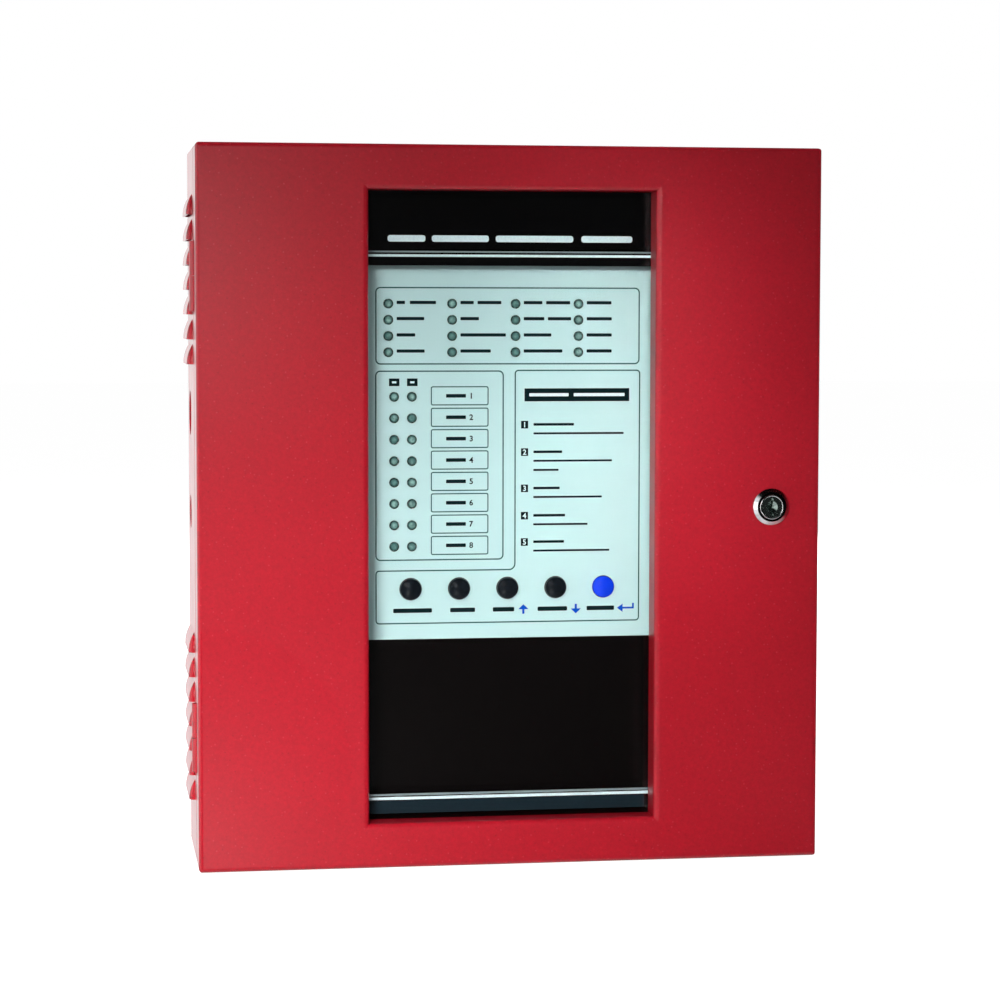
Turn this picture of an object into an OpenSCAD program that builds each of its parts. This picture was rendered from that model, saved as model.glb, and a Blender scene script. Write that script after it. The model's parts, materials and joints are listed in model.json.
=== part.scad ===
// Conventional eight-zone fire alarm control panel: a welded sheet-steel wall cabinet with a keyed
// door, a clear window over the indicator and key panel, the two circuit boards behind it, and the
// transformer and standby batteries below them.
// Origin: centre of the cabinet's back face. +X to the right, +Y into the wall, +Z up.
// The door faces -Y. Sizes are in millimetres.

/* [Cabinet] */
// Width of the cabinet and its door
cab_w = 310; // [300:1:380]
// Height of the cabinet and its door
cab_h = 355; // [350:1:420]
// Depth from the wall to the front of the door
cab_d = 90; // [88:1:120]
// Thickness of the steel sheet
sheet_t = 1.2; // [0.8:0.1:1.5]
// Outer radius of the bends in the sheet
bend_r = 2.2; // [1.8:0.1:3]
// Width of the frame round the cabinet's mouth, from the outer edge
frame_lip = 13; // [12:0.5:15]

/* [Wall fixing] */
// Distance of the wall screws from the cabinet's sides
wall_hole_side = 20; // [17:0.5:25]
// Distance of the wall screws from the cabinet's top and bottom
wall_hole_end = 22.5; // [18:0.5:24]
// Radius of each wall screw hole
wall_hole_r = 3.5; // [2.5:0.25:4]

/* [Cable entries] */
// Radius of the upper cable hole in the left side
entry_r = 11.25; // [8:0.25:12.5]
// Radius of the lower cable hole in the left side
entry_small_r = 8.5; // [6:0.25:10]
// Height of the upper side hole above mid-height
entry_z = 45; // [40:1:55]
// Height of the lower side hole above mid-height
entry_small_z = -5; // [-15:1:0]
// Distance of the side holes from the wall
entry_y = 23; // [20:1:30]
// Radius of the holes that the top grommets sit in
grommet_hole_r = 10; // [8:0.5:12]
// Radius of the cable bore through a top grommet
grommet_bore_r = 7; // [4:0.5:7.5]
// Spacing of the two top grommets
grommet_dx = 120; // [80:5:180]
// Distance of the top grommets from the wall
grommet_y = 34; // [28:1:38]

/* [Louvers] */
// Louvers in each group
louver_n = 7; // [3:1:8]
// Spacing of the louvers up the side
louver_pitch = 12.3; // [11.5:0.1:13]
// Length of each louver from front to back
louver_l = 46; // [30:1:50]
// Height of each louver
louver_h = 10; // [8:0.5:11]
// How far a louver stands out of the side
louver_bulge = 3; // [2.4:0.1:3.6]
// Height of the louver groups above and below mid-height
louver_group_z = 108.5; // [100:0.5:112]
// How far the louver lips lie below the middle of their group
louver_drop = 1.5; // [0:0.5:3]
// Distance of the louvers' middle from the wall
louver_y = 34; // [32:1:38]

/* [Door] */
// Depth of the door pan
door_d = 20; // [20:0.5:24]
// Gap between the door's rim and the cabinet
door_gap = 2.4; // [2.2:0.1:3]

/* [Window] */
// Width of the window opening
win_w = 142.6; // [130:0.1:148]
// Height of the door's border above and below the window
win_border = 21.95; // [20:0.05:28]
// Radius of the bend round the window
win_bend = 2.8; // [1.8:0.1:3.4]
// How far the lip behind the window lies in front of the door's rim
lip_set = 6; // [1.8:0.1:8]
// Width of the lip behind the window's flange
win_lip = 11; // [10:0.5:11.5]
// Thickness of the foam strip between the lip and the pane
gasket_t = 0.8; // [0.5:0.1:1]
// Thickness of the clear pane
pane_t = 2; // [1.5:0.1:2.5]
// Overlap of the pane behind the lip
pane_edge = 8.5; // [8:0.5:9]
// Spacing of the pane's studs up each side
pane_stud_dz = 140; // [100:5:145]
// Distance of the studs from the pane's edge
pane_stud_edge = 2.6; // [2.4:0.1:3]

/* [Hinges] */
// Radius of a hinge knuckle
hinge_r = 4; // [3.8:0.1:4.2]
// Radius of a hinge pin
pin_r = 2; // [1.5:0.1:2.2]
// Running clearance between a pin and the door's knuckle
pin_clear = 0.05; // [0.02:0.01:0.09]
// Length of a hinge, both knuckles together
hinge_len = 34; // [28:1:40]
// Height of the hinges above and below mid-height
hinge_z = 113.5; // [105:0.5:120]
// How far a knuckle stands out of the side
hinge_proud = 2.2; // [2:0.1:2.4]
// Thickness of a hinge leaf
leaf_t = 2; // [1.6:0.1:2.4]
// Reach of a hinge leaf from the pin
leaf_reach = 12; // [10:0.5:12.5]

/* [Lock] */
// Distance of the lock from the door's free edge
lock_edge = 25.3; // [24:0.1:27]
// Height of the lock above mid-height
lock_z = -0.5; // [-5:0.5:5]
// Radius of the lock's head at the door
lock_head_r = 9.1; // [9:0.1:10.5]
// Radius of the lock's head at its face
lock_face_r = 7.35; // [7:0.05:8.2]
// Height of the lock's head above the door
lock_head_h = 4.7; // [3:0.1:5.5]
// Radius of the threaded lock barrel
barrel_r = 8; // [7.6:0.1:8.4]
// Radius of the key plug
plug_r = 5.2; // [5:0.05:6]
// Running clearance round the key plug
plug_clear = 0.06; // [0.02:0.01:0.09]
// Reach of the cam from the plug's axis
cam_reach = 20; // [18:0.5:21]
// Thickness of the cam
cam_t = 2; // [1.5:0.1:2.5]

/* [Display plate] */
// Width of the display plate
plate_w = 168; // [164:1:168]
// How far the display plate lies behind the frame
plate_set = 2.4; // [2:0.1:4]
// Depth of the display plate's side flanges
plate_flange = 8; // [6:0.5:9]
// Distance of the printed overlay from the plate's sides
overlay_side = 6; // [4:0.5:9]
// Distance of the overlay's top from the end of the plate's flat face
overlay_end = 10; // [6:0.5:20]
// Bottom edge of the overlay above mid-height
overlay_bottom = -67.2; // [-75:0.1:-60]
// Thickness of the overlay
overlay_t = 0.4; // [0.2:0.1:0.6]

/* [Indicators] */
// Radius of an indicator lamp
led_r = 2.2; // [1.5:0.1:2.6]
// Height of an indicator lamp above its board
led_h = 8.6; // [8.4:0.1:9.4]
// Clearance round lamps and keys in the plate
hole_clear = 0.3; // [0.2:0.05:0.5]
// Distance of the status lamps' first column from the overlay's edge
status_side = 19.1; // [18:0.05:20]
// Spacing of the status columns
status_dx = 31.95; // [28:0.05:33]
// Top row of the status lamps above mid-height
status_z = 100.2; // [95:0.1:105]
// Spacing of the status rows
status_dz = 8.03; // [7.5:0.01:9]
// Distance of the zone lamps' first column from the overlay's edge
zone_side = 21.95; // [18:0.05:24]
// Spacing of the two zone columns
zone_dx = 8.9; // [7.5:0.1:12]
// Top row of the zone lamps above mid-height
zone_z = 54; // [50:0.1:60]
// Spacing of the zone rows
zone_dz = 10.68; // [8:0.01:11]

/* [Keys] */
// Radius of a key cap
key_r = 5.4; // [4.5:0.05:5.9]
// Distance of the first key from the overlay's edge
key_side = 30.2; // [28:0.1:32]
// Spacing of the keys
key_dx = 24.46; // [20:0.01:25]
// Height of the keys above mid-height
key_z = -42.1; // [-46:0.1:-38]
// How far a key cap stands in front of the overlay
key_proud = 3; // [2.4:0.1:3.4]
// Travel of a key
key_travel = 1; // [0.5:0.1:1.1]
// Sliding clearance round a key's stem
stem_clear = 0.08; // [0.04:0.01:0.1]

/* [Boards] */
// Thickness of a circuit board
pcb_t = 1.6; // [1.2:0.1:2]
// Distance of the display board's sides from the plate's
dboard_side = 10; // [8:0.5:12]
// How far the display board reaches above the top row of lamps
dboard_above = 11.2; // [10:0.1:14]
// How far the display board reaches below the keys
dboard_below = 17.9; // [17:0.1:20]
// Gap between the display plate and its board
dboard_gap = 5.5; // [5.2:0.1:6]
// Width of the main board
mboard_w = 250; // [246:1:256]
// Height of the main board
mboard_h = 150; // [146:1:154]
// Gap between the transformer's clamp and the main board above it
mboard_gap = 8; // [6:0.5:14]
// Height of the main board's standoffs
standoff_h = 10; // [6:0.5:12]
// Spacing of the screw terminals
pole_pitch = 5.08; // [4.8:0.02:5.3]
// Poles in the zone terminal block
zone_poles = 16; // [8:1:20]
// Poles in the output terminal block
output_poles = 12; // [8:1:20]

/* [Power supply] */
// Length of a standby battery
bat_w = 97; // [90:1:98]
// Depth of a standby battery
bat_d = 43; // [35:1:44]
// Height of a standby battery
bat_h = 52; // [45:1:54]
// Gap between the two batteries
bat_gap = 2; // [1:0.5:4]
// Width of the strap across the batteries
strap_h = 15; // [10:1:18]
// Distance of the transformer's middle from the cabinet's right side
trans_side = 43; // [41:0.5:47]
// Gap between the batteries' tops and the transformer's clamp
trans_gap = 5.3; // [4:0.1:10]
// Height of the transformer's core, up the wall
core_h = 57; // [50:1:60]
// Depth of the transformer's core, off the wall
core_d = 46; // [40:1:48]
// Thickness of the stack of laminations
core_stack = 25; // [20:1:28]
// Gap between the mains terminals and the cabinet's right side
mains_side = 3.8; // [3:0.1:5]

/* [Hidden] */
$fn = 48;

half_w = cab_w / 2;
half_h = cab_h / 2;
win_h = cab_h - 2 * win_border;
win_d = door_d - lip_set;
eps = 0.01;            // overshoot of a cut past a face
air = 0.3;             // gap between parts that only lie side by side

// Planes, counted along Y from the wall towards the room
y_face = -cab_d;                        // front of the door
y_rim = y_face + door_d;                // rim of the door pan
y_box = y_rim + door_gap;               // mouth of the cabinet
box_d = -y_box;
y_frame = y_box + sheet_t;              // back of the front frame
y_lip = y_face + win_d;                 // back of the window's lip
y_pane = y_lip + gasket_t;              // front of the pane
y_pane_back = y_pane + pane_t;
y_plate = y_frame + plate_set;          // front of the display plate
y_plate_back = y_plate + sheet_t;
y_overlay = y_plate - overlay_t;        // front of the overlay
y_dboard = y_plate_back + dboard_gap;   // front of the display board
y_dboard_back = y_dboard + pcb_t;
y_wall = -sheet_t;                      // inner face of the back panel
y_mboard_back = y_wall - standoff_h;
y_mboard = y_mboard_back - pcb_t;       // front of the main board
floor_z = -half_h + sheet_t;            // inner face of the bottom panel

// Hinge axis, just in front of the door's rim
axis_x = -half_w - hinge_proud + hinge_r;
axis_y = y_rim - 0.5;
knuckle_gap = 0.2;
stop_r = 3.4;
stop_end = 28;         // door stops, from the top and bottom
grommet_lip = 2.5;
grommet_t = 1.8;
notch_clear = 0.6;

// Screws
m3_r = 1.5;
m3_head_r = 2.8;
m3_head_h = 2;
m4_r = 2;
m4_head_r = 3.8;
m4_head_h = 1.2;
screw_clear = 0.2;
plate_screw_l = 6;
board_screw_l = 6;
flange_root = 0.5;     // the window's flange begins this deep inside the face
stud_out = 3.2;        // pane stud behind the pane
nut_h = 2.4;
nut_af = 5.5;

// Lock
lock_x = half_w - lock_edge;
bead_r = 0.5;                           // raised bead round the plug
flat_h = lock_head_h - bead_r;          // flat face of the lock's head and the plug
barrel_back = y_frame + 0.1;            // rear end of the barrel
plug_play = 0.2;                        // between the plug's shoulder and the barrel's end
cam_y = barrel_back + 0.5;
lock_nut_h = 3;
lock_nut_af = 22;
cam_square = 7;
cam_w = 13;

// Display plate
overlay_w = plate_w - 2 * overlay_side;
status_x = status_side - overlay_w / 2;
zone_x = zone_side - overlay_w / 2;
key_x = key_side - overlay_w / 2;
dboard_w = plate_w - 2 * dboard_side;
dboard_h = status_z + dboard_above - key_z + dboard_below;
dboard_z = status_z + dboard_above - dboard_h / 2;
board_edge = 6;        // from a board's edges to its corner screws
tab_z = half_h - sheet_t - 1;           // end of the plate's tabs
joggle_z = half_h - frame_lip - 1;      // where the tabs begin
joggle_l = 3.5;
flat_z = joggle_z - joggle_l;           // end of the flat face
overlay_top = flat_z - overlay_end;
plate_screw_x = 60;
plate_screw_z = half_h - (frame_lip + sheet_t) / 2;
dpost_x = dboard_w / 2 - board_edge;
dpost_dz = dboard_h / 2 - board_edge;

// Power supply
bat_front = y_wall - bat_d;
bat_top = floor_z + bat_h;
tab_h = 6.3;
tab_w = 4.8;
tab_t = 0.8;
tab_inset = 6;
tab_y = y_wall - bat_d / 2;
bat_notch = [6, 6, 2];
bat_edge = bend_r - sheet_t + air;      // clears the bend at the bottom of the back panel
bat_end = bat_gap / 2 + bat_w;
strap_z = floor_z + bat_h / 2;
strap_t = 1.2;
strap_foot = 12;
strap_screw_x = bat_end + air + strap_t + strap_foot / 2;
limb_w = core_h / 6;                    // outer limbs; the middle limb is twice as wide
winding_out = 9;
winding_half = core_h / 2 - limb_w - air;
y_core = y_wall - core_d;
clamp_w = 18;
clamp_foot = 9;
clamp_screw_z = core_h / 2 + air + strap_t + clamp_foot / 2;
clamp_half = clamp_screw_z + clamp_foot / 2;
trans_x = half_w - trans_side;
trans_z = bat_top + trans_gap + clamp_half;
recept = [6.4, 3.2, 12.5];              // push-on receptacle
recept_lift = 0.5;
recept_clear = 0.05;
lead_r = 1.2;
lead_sides = 8;
mains_size = [36, 16, 18];
mains_gap = 2;
mains_pole = 9.6;
mains_wire_y = 7;
mains_x = half_w - sheet_t - mains_side - mains_size[0] / 2;
mains_z = trans_z - clamp_half - mains_gap - mains_size[1] / 2;
earth_side = 25;
earth_up = 20;
earth_x = earth_side - half_w;
earth_z = bat_top + earth_up;
earth_r = 2.5;
earth_l = 14;
earth_washer = [5, 1];
earth_nut = [8, 4];

// Main board
mboard_z = trans_z + clamp_half + mboard_gap + mboard_h / 2;
mpost_x = mboard_w / 2 - board_edge;
mpost_z = mboard_h / 2 - board_edge;
term_w = 12;
term_h = 15;
term_inset = 2;
term_lead_in = 3;
term_step = 4;
term_screw_r = 1.8;
term_screw_x = 1.5;
term_mouth = 3;
power_poles = 4;
power_x = -40;
power_edge = 1;
power_z = mboard_z - mboard_h / 2 + power_edge + term_w / 2;
socket_x = 20;
socket_l = 28;
socket_w = 9;
socket_h = 9;
socket_wall = 1.2;
socket_floor = 2;
plug_out = 4;
plug_in = 5;
ribbon_w = 20;
ribbon_t = 1;
display_socket_up = 2.1;                // above the key row
display_socket_z = key_z + display_socket_up;
main_socket_down = 27;                  // below the middle of the board
main_socket_z = mboard_z - main_socket_down;
part_gap = 2;
sounder_r = 11;
sounder_h = 9;
sounder_up = 40;
sounder_x = mboard_w / 2 - term_inset - term_w - part_gap - sounder_r;
relay_size = [19, 15, 15.5];
relay_foot = [1, 2];
relay_gap = 7.5;
relay_x = sounder_x - sounder_r - relay_gap - relay_size[0] / 2;
relay_dz = 20;
relay_up = 8;
fuse_side = 25;
fuse_x = term_inset + term_w + fuse_side - mboard_w / 2;
fuse_r = 2.6;
fuse_l = 20;
fuse_lift = 3.4;
fuse_cap = 5;
fuse_wall = 0.8;
fuse_up = 20;
fuse_dz = 30;
fuse_zs = [for (s = [-1, 1]) mboard_z + fuse_up + s * fuse_dz / 2];
cap_down = 40;
cap_small_down = 44;
cap_spots = [[-40, mboard_z - cap_down, 8, 25], [-18, mboard_z - cap_down, 8, 25],
    [0, mboard_z - cap_small_down, 5, 16]];
dip_size = [6.5, 20, 4];
dip_x = -45;
dip_dx = 26;
dip_up = 4;
cpu_size = [16, 16, 1.8];
cpu_x = -10;
cpu_up = 48;
driver_x = -40;
driver_dx = 40;
driver_up = 30;

// ---- Helpers ----

// A box given by its corners
module slab(x, y, z) {
    translate([x[0], y[0], z[0]]) cube([x[1] - x[0], y[1] - y[0], z[1] - z[0]]);
}

// A shape drawn as seen from the front, standing from y0 to y1
module upright(y0, y1) {
    translate([0, y1, 0]) rotate([90, 0, 0]) linear_extrude(y1 - y0) children();
}

// A rod along Y
module rod_y(x, z, y0, y1, r) {
    translate([x, y0, z]) rotate([-90, 0, 0]) cylinder(h = y1 - y0, r = r);
}

// A turned shape along Y: its profile is [radius, distance from y towards the room]
module turned(x, y, z) {
    translate([x, y, z]) rotate([90, 0, 0]) rotate_extrude() children();
}

module round_rect(w, h, r) {
    square([w - 2 * r, h], center = true);
    square([w, h - 2 * r], center = true);
    for (sx = [-1, 1], sz = [-1, 1]) translate([sx * (w / 2 - r), sz * (h / 2 - r)]) circle(r);
}

// A rectangle from 0 to d with its two corners at 0 rounded
module bent_rect(w, d, r) {
    translate([-w / 2, r]) square([w, d - r]);
    translate([r - w / 2, 0]) square([w - 2 * r, r + eps]);
    for (s = [-1, 1]) translate([s * (w / 2 - r), r]) circle(r);
}

// A block whose face at y = 0 and whose four long edges are rounded, d deep along +Y
module bent_block(w, h, d, r) {
    intersection() {
        upright(0, d) round_rect(w, h, r);
        translate([0, 0, -h / 2]) linear_extrude(h) bent_rect(w, d, r);
        translate([-w / 2, 0, 0]) rotate([0, 90, 0]) linear_extrude(w) bent_rect(h, d, r);
    }
}

// The opening of a flanged window: flared at the front by the bend of the sheet
module flared_rect(w, d, r) {
    translate([-w / 2, -eps]) square([w, d + 2 * eps]);
    difference() {
        translate([-w / 2 - r, -eps]) square([w + 2 * r, r + eps]);
        for (s = [-1, 1]) translate([s * (w / 2 + r), r]) circle(r);
    }
}

module flared_opening(w, h, d, r) {
    intersection() {
        translate([0, 0, -h / 2 - r]) linear_extrude(h + 2 * r) flared_rect(w, d, r);
        translate([-w / 2 - r, 0, 0]) rotate([0, 90, 0]) linear_extrude(w + 2 * r)
            flared_rect(h, d, r);
    }
}

// A pan-head screw along Y: the head's back is at y, and it stands towards -Y (way = 1) or +Y
module pan_screw(x, y, z, head_r, head_h, r, l, way = 1) {
    translate([x, y, z]) rotate([way * 90, 0, 0]) difference() {
        union() {
            translate([0, 0, -l]) cylinder(h = l + eps, r = r);
            cylinder(h = head_h * 0.55, r = head_r);
            translate([0, 0, head_h * 0.55]) cylinder(h = head_h * 0.45, r1 = head_r, r2 = head_r * 0.72);
        }
        for (a = [0, 90]) rotate([0, 0, a]) translate([-head_r * 0.5, -head_r * 0.13, head_h * 0.55])
            cube([head_r, head_r * 0.26, head_h]);
    }
}

// A hexagon across flats, drawn flat
module hex(af) {
    circle(r = af / sqrt(3), $fn = 6);
}

function unit(v) = v / norm(v);
function spline(a, b, c, d, t) =
    0.5 * (2 * b + (c - a) * t + (2 * a - 5 * b + 4 * c - d) * t * t
        + (3 * b - a - 3 * c + d) * t * t * t);
function smooth(p, n) = [
    for (i = [0:len(p) - 2], k = [0:n - 1])
        spline(p[max(i - 1, 0)], p[i], p[i + 1], p[min(i + 2, len(p) - 1)], k / n),
    p[len(p) - 1]];

// An insulated lead swept along its route
module lead(route, side = [0, 1, 0]) {
    path = smooth(route, 4);
    m = len(path);
    n = lead_sides;
    points = [
        for (i = [0:m - 1])
            let (t = unit(path[min(i + 1, m - 1)] - path[max(i - 1, 0)]),
                 u = unit(cross(t, side)),
                 v = cross(t, u))
            for (k = [0:n - 1]) path[i] + lead_r * (cos(360 * k / n) * u + sin(360 * k / n) * v)];
    faces = concat(
        [[for (k = [0:n - 1]) k]],
        [for (i = [0:m - 2], k = [0:n - 1])
            [i * n + k, (i + 1) * n + k, (i + 1) * n + (k + 1) % n]],
        [for (i = [0:m - 2], k = [0:n - 1])
            [i * n + k, (i + 1) * n + (k + 1) % n, i * n + (k + 1) % n]],
        [[for (k = [0:n - 1]) m * n - 1 - k]]);
    polyhedron(points = points, faces = faces);
}

// ---- Cabinet ----

module cabinet_shell() {
    difference() {
        mirror([0, 1, 0]) bent_block(cab_w, cab_h, box_d, bend_r);
        translate([0, -sheet_t, 0]) mirror([0, 1, 0])
            bent_block(cab_w - 2 * sheet_t, cab_h - 2 * sheet_t, box_d, bend_r - sheet_t);
    }
}

module back_panel() {
    color("firebrick") difference() {
        intersection() {
            cabinet_shell();
            slab([bend_r - half_w, half_w - bend_r], [-bend_r, 1], [-half_h - 1, half_h + 1]);
        }
        for (sx = [-1, 1], sz = [-1, 1])
            rod_y(sx * (half_w - wall_hole_side), sz * (half_h - wall_hole_end), -sheet_t - 1, 1, wall_hole_r);
    }
}

// A louver's section, out of the side along x and up it along y: one arc from lip to sheet
module louver_section(grow) {
    up_r = (louver_h * louver_h + louver_bulge * louver_bulge) / (2 * louver_bulge);
    translate([louver_bulge - up_r, 0]) circle(up_r + grow);
}

// One pressed louver on the left side: its lip at z = 0, its ends round, its hollow grown by -sheet_t
module louver_form(grow) {
    run = louver_l - 2 * louver_bulge;
    mirror([1, 0, 0]) {
        translate([0, run / 2, 0]) rotate([90, 0, 0]) linear_extrude(run) louver_section(grow);
        for (s = [0, 1]) mirror([0, s, 0]) translate([0, run / 2, 0]) rotate_extrude(angle = 180) intersection() {
            louver_section(grow);
            translate([0, -1]) square([louver_bulge + 1, louver_h + 2]);
        }
    }
}

function louver_lips() = [
    for (s = [-1, 1], i = [0:louver_n - 1])
        s * louver_group_z - louver_drop + (i - (louver_n - 1) / 2) * louver_pitch];

// The left side, with its louvers; the right side is its mirror image
module side_panel() {
    difference() {
        union() {
            intersection() {
                cabinet_shell();
                slab([-half_w - 1, bend_r - half_w], [-cab_d, 1], [-half_h - 1, half_h + 1]);
            }
            for (z = louver_lips()) translate([-half_w, -louver_y, z]) intersection() {
                louver_form(0);
                slab([-louver_bulge - 1, sheet_t / 2], [-louver_l, louver_l], [0, louver_h + 2]);
            }
        }
        for (z = louver_lips()) translate([-half_w, -louver_y, z]) intersection() {
            louver_form(-sheet_t);
            slab([-louver_bulge - 1, sheet_t + 1], [-louver_l, louver_l], [-eps, louver_h + 2]);
        }
    }
}

// Room for the hinges in the cabinet's mouth
module cabinet_hinge_notches() {
    for (s = [-1, 1])
        slab([-half_w - 5, axis_x + hinge_r + notch_clear], [y_box - 1, axis_y + hinge_r + notch_clear],
            [s * hinge_z - hinge_len / 2 - notch_clear, s * hinge_z + hinge_len / 2 + notch_clear]);
}

module left_side_panel() {
    color("firebrick") difference() {
        side_panel();
        cabinet_hinge_notches();
        translate([-half_w - 1, -entry_y, entry_z]) rotate([0, 90, 0]) cylinder(h = 4, r = entry_r);
        translate([-half_w - 1, -entry_y, entry_small_z]) rotate([0, 90, 0])
            cylinder(h = 4, r = entry_small_r);
    }
}

module right_side_panel() {
    color("firebrick") mirror([1, 0, 0]) side_panel();
}

module flat_wall() {
    intersection() {
        cabinet_shell();
        slab([bend_r - half_w, half_w - bend_r], [-cab_d, -bend_r], [half_h - bend_r, half_h + 1]);
    }
}

module top_panel() {
    color("firebrick") difference() {
        flat_wall();
        for (s = [-1, 1]) translate([s * grommet_dx / 2, -grommet_y, half_h - 3])
            cylinder(h = 5, r = grommet_hole_r);
    }
}

module bottom_panel() {
    color("firebrick") mirror([0, 0, 1]) flat_wall();
}

module front_frame() {
    color("firebrick") difference() {
        upright(y_box, y_frame) difference() {
            round_rect(cab_w - 2 * sheet_t, cab_h - 2 * sheet_t, bend_r - sheet_t);
            square([cab_w - 2 * frame_lip, cab_h - 2 * frame_lip], center = true);
        }
        cabinet_hinge_notches();
        for (sx = [-1, 1], sz = [-1, 1])
            rod_y(sx * plate_screw_x, sz * plate_screw_z, y_box - 1, y_frame + 1, m4_r + screw_clear);
    }
}

// A knuckle with its leaf: way = 1 reaches back into the cabinet, -1 forward into the door
module hinge_half(z0, z1, bore_r, way) {
    difference() {
        union() {
            translate([axis_x, axis_y, z0]) cylinder(h = z1 - z0, r = hinge_r);
            slab([-half_w + sheet_t, -half_w + sheet_t + leaf_t],
                way > 0 ? [axis_y, axis_y + leaf_reach] : [axis_y - leaf_reach, axis_y],
                [z0 + 1, z1 - 1]);
        }
        translate([axis_x, axis_y, z0 - 1]) cylinder(h = z1 - z0 + 2, r = bore_r);
    }
}

module cabinet_hinge_leaves() {
    color("firebrick") for (s = [-1, 1])
        hinge_half(s * hinge_z - hinge_len / 2, s * hinge_z - knuckle_gap / 2, pin_r, 1);
}

module hinge_pins() {
    color("silver") for (s = [-1, 1])
        translate([axis_x, axis_y, s * hinge_z - hinge_len / 2]) cylinder(h = hinge_len - 1, r = pin_r);
}

// Rubber stops for the free edge of the door
module bump_stops() {
    stop_h = door_gap - air;
    color("dimgray") for (s = [-1, 1])
        turned(half_w - stop_r - 0.2, y_box, s * (half_h - stop_end)) union() {
            square([stop_r, stop_h - 0.5]);
            square([stop_r - 0.4, stop_h]);
        }
}

module cable_grommets() {
    outer = grommet_hole_r + grommet_lip;
    color("dimgray") for (s = [-1, 1])
        translate([s * grommet_dx / 2, -grommet_y, half_h - sheet_t]) rotate_extrude() {
            translate([grommet_bore_r, -grommet_t]) square([outer - grommet_bore_r, grommet_t]);
            translate([grommet_bore_r, -eps]) square([grommet_hole_r - grommet_bore_r, sheet_t + 2 * eps]);
            translate([grommet_bore_r, sheet_t]) square([outer - grommet_bore_r, grommet_t]);
        }
}

// ---- Display plate and its board ----

function status_spots() = [
    for (c = [0:3], r = [0:3]) [status_x + c * status_dx, status_z - r * status_dz]];
function zone_spots() = [
    for (c = [0:1], r = [0:7]) [zone_x + c * zone_dx, zone_z - r * zone_dz]];
function key_spots() = [for (i = [0:4]) [key_x + i * key_dx, key_z]];
function dpost_spots() = [
    for (sx = [-1, 1], k = [-1, 0, 1]) [sx * dpost_x, dboard_z + k * dpost_dz]];

// Round openings for the lamps and the keys, through everything from y0 to y1
module panel_holes(y0, y1) {
    for (p = concat(status_spots(), zone_spots())) rod_y(p[0], p[1], y0, y1, led_r + hole_clear);
    for (p = key_spots()) rod_y(p[0], p[1], y0, y1, key_r + hole_clear);
}

// Section of the display plate: flat in the middle, stepped forward at both ends
module plate_section() {
    front = [[-tab_z, y_frame], [-joggle_z, y_frame], [-flat_z, y_plate],
        [flat_z, y_plate], [joggle_z, y_frame], [tab_z, y_frame]];
    polygon(concat(front, [for (i = [5:-1:0]) front[i] + [0, sheet_t]]));
}

module display_plate() {
    color([0.05, 0.05, 0.06]) difference() {
        union() {
            translate([-plate_w / 2, 0, 0]) rotate([0, 90, 0]) linear_extrude(plate_w) plate_section();
            for (s = [0, 1]) mirror([s, 0, 0])
                slab([plate_w / 2 - sheet_t, plate_w / 2], [y_plate, y_plate + plate_flange],
                    [2 - flat_z, flat_z - 2]);
        }
        panel_holes(y_overlay - 1, y_plate_back + 1);
        for (sx = [-1, 1], sz = [-1, 1])
            rod_y(sx * plate_screw_x, sz * plate_screw_z, y_frame - 1, y_frame + sheet_t + 1, m4_r);
    }
}

module display_plate_screws() {
    color("silver") for (sx = [-1, 1], sz = [-1, 1])
        pan_screw(sx * plate_screw_x, y_box, sz * plate_screw_z, m4_head_r, m4_head_h, m4_r, plate_screw_l);
}

module overlay_label() {
    color([0.78, 0.91, 0.91]) difference() {
        slab([-overlay_w / 2, overlay_w / 2], [y_overlay, y_plate], [overlay_bottom, overlay_top]);
        panel_holes(y_overlay - 1, y_plate + 1);
    }
}

module display_board() {
    color("darkgreen") difference() {
        slab([-dboard_w / 2, dboard_w / 2], [y_dboard, y_dboard_back],
            [dboard_z - dboard_h / 2, dboard_z + dboard_h / 2]);
        for (p = dpost_spots()) rod_y(p[0], p[1], y_dboard - 1, y_dboard_back + 1, m3_r + screw_clear);
    }
}

module hex_post(x, z, y0, y1) {
    translate([x, 0, z]) difference() {
        upright(y0, y1) hex(nut_af);
        rod_y(0, 0, y0 - eps, y1 + eps, m3_r);
    }
}

module display_board_standoffs() {
    color("silver") for (p = dpost_spots()) hex_post(p[0], p[1], y_plate_back, y_dboard);
}

module board_screws() {
    color("silver") {
        for (p = dpost_spots())
            pan_screw(p[0], y_dboard_back, p[1], m3_head_r, m3_head_h, m3_r, board_screw_l, -1);
        for (p = mpost_spots())
            pan_screw(p[0], y_mboard, p[1], m3_head_r, m3_head_h, m3_r, board_screw_l);
    }
}

// A lamp: its foot, body and dome
module led(p) {
    turned(p[0], y_dboard, p[1]) intersection() {
        union() {
            square([led_r + 0.4, 1]);
            square([led_r, led_h - led_r]);
            translate([0, led_h - led_r]) circle(led_r);
        }
        square([led_r + 1, led_h]);
    }
}

module status_leds() {
    color([0.45, 0.55, 0.5]) for (p = status_spots()) led(p);
}

module zone_leds() {
    color([0.45, 0.55, 0.5]) for (p = zone_spots()) led(p);
}

switch_w = 12;
switch_top = y_plate_back + 1.2;
cap_back = switch_top - key_travel - air;
cap_front = y_overlay - key_proud;
stem_r = 1.9;
key_edge = 1.2;         // rounding of a cap's edge
stem_end = y_dboard - key_travel - air;

module key_switches() {
    color([0.1, 0.1, 0.11]) for (p = key_spots()) difference() {
        slab([p[0] - switch_w / 2, p[0] + switch_w / 2], [switch_top, y_dboard],
            [p[1] - switch_w / 2, p[1] + switch_w / 2]);
        rod_y(p[0], p[1], switch_top - 1, y_dboard + eps, stem_r + stem_clear);
    }
}

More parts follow.
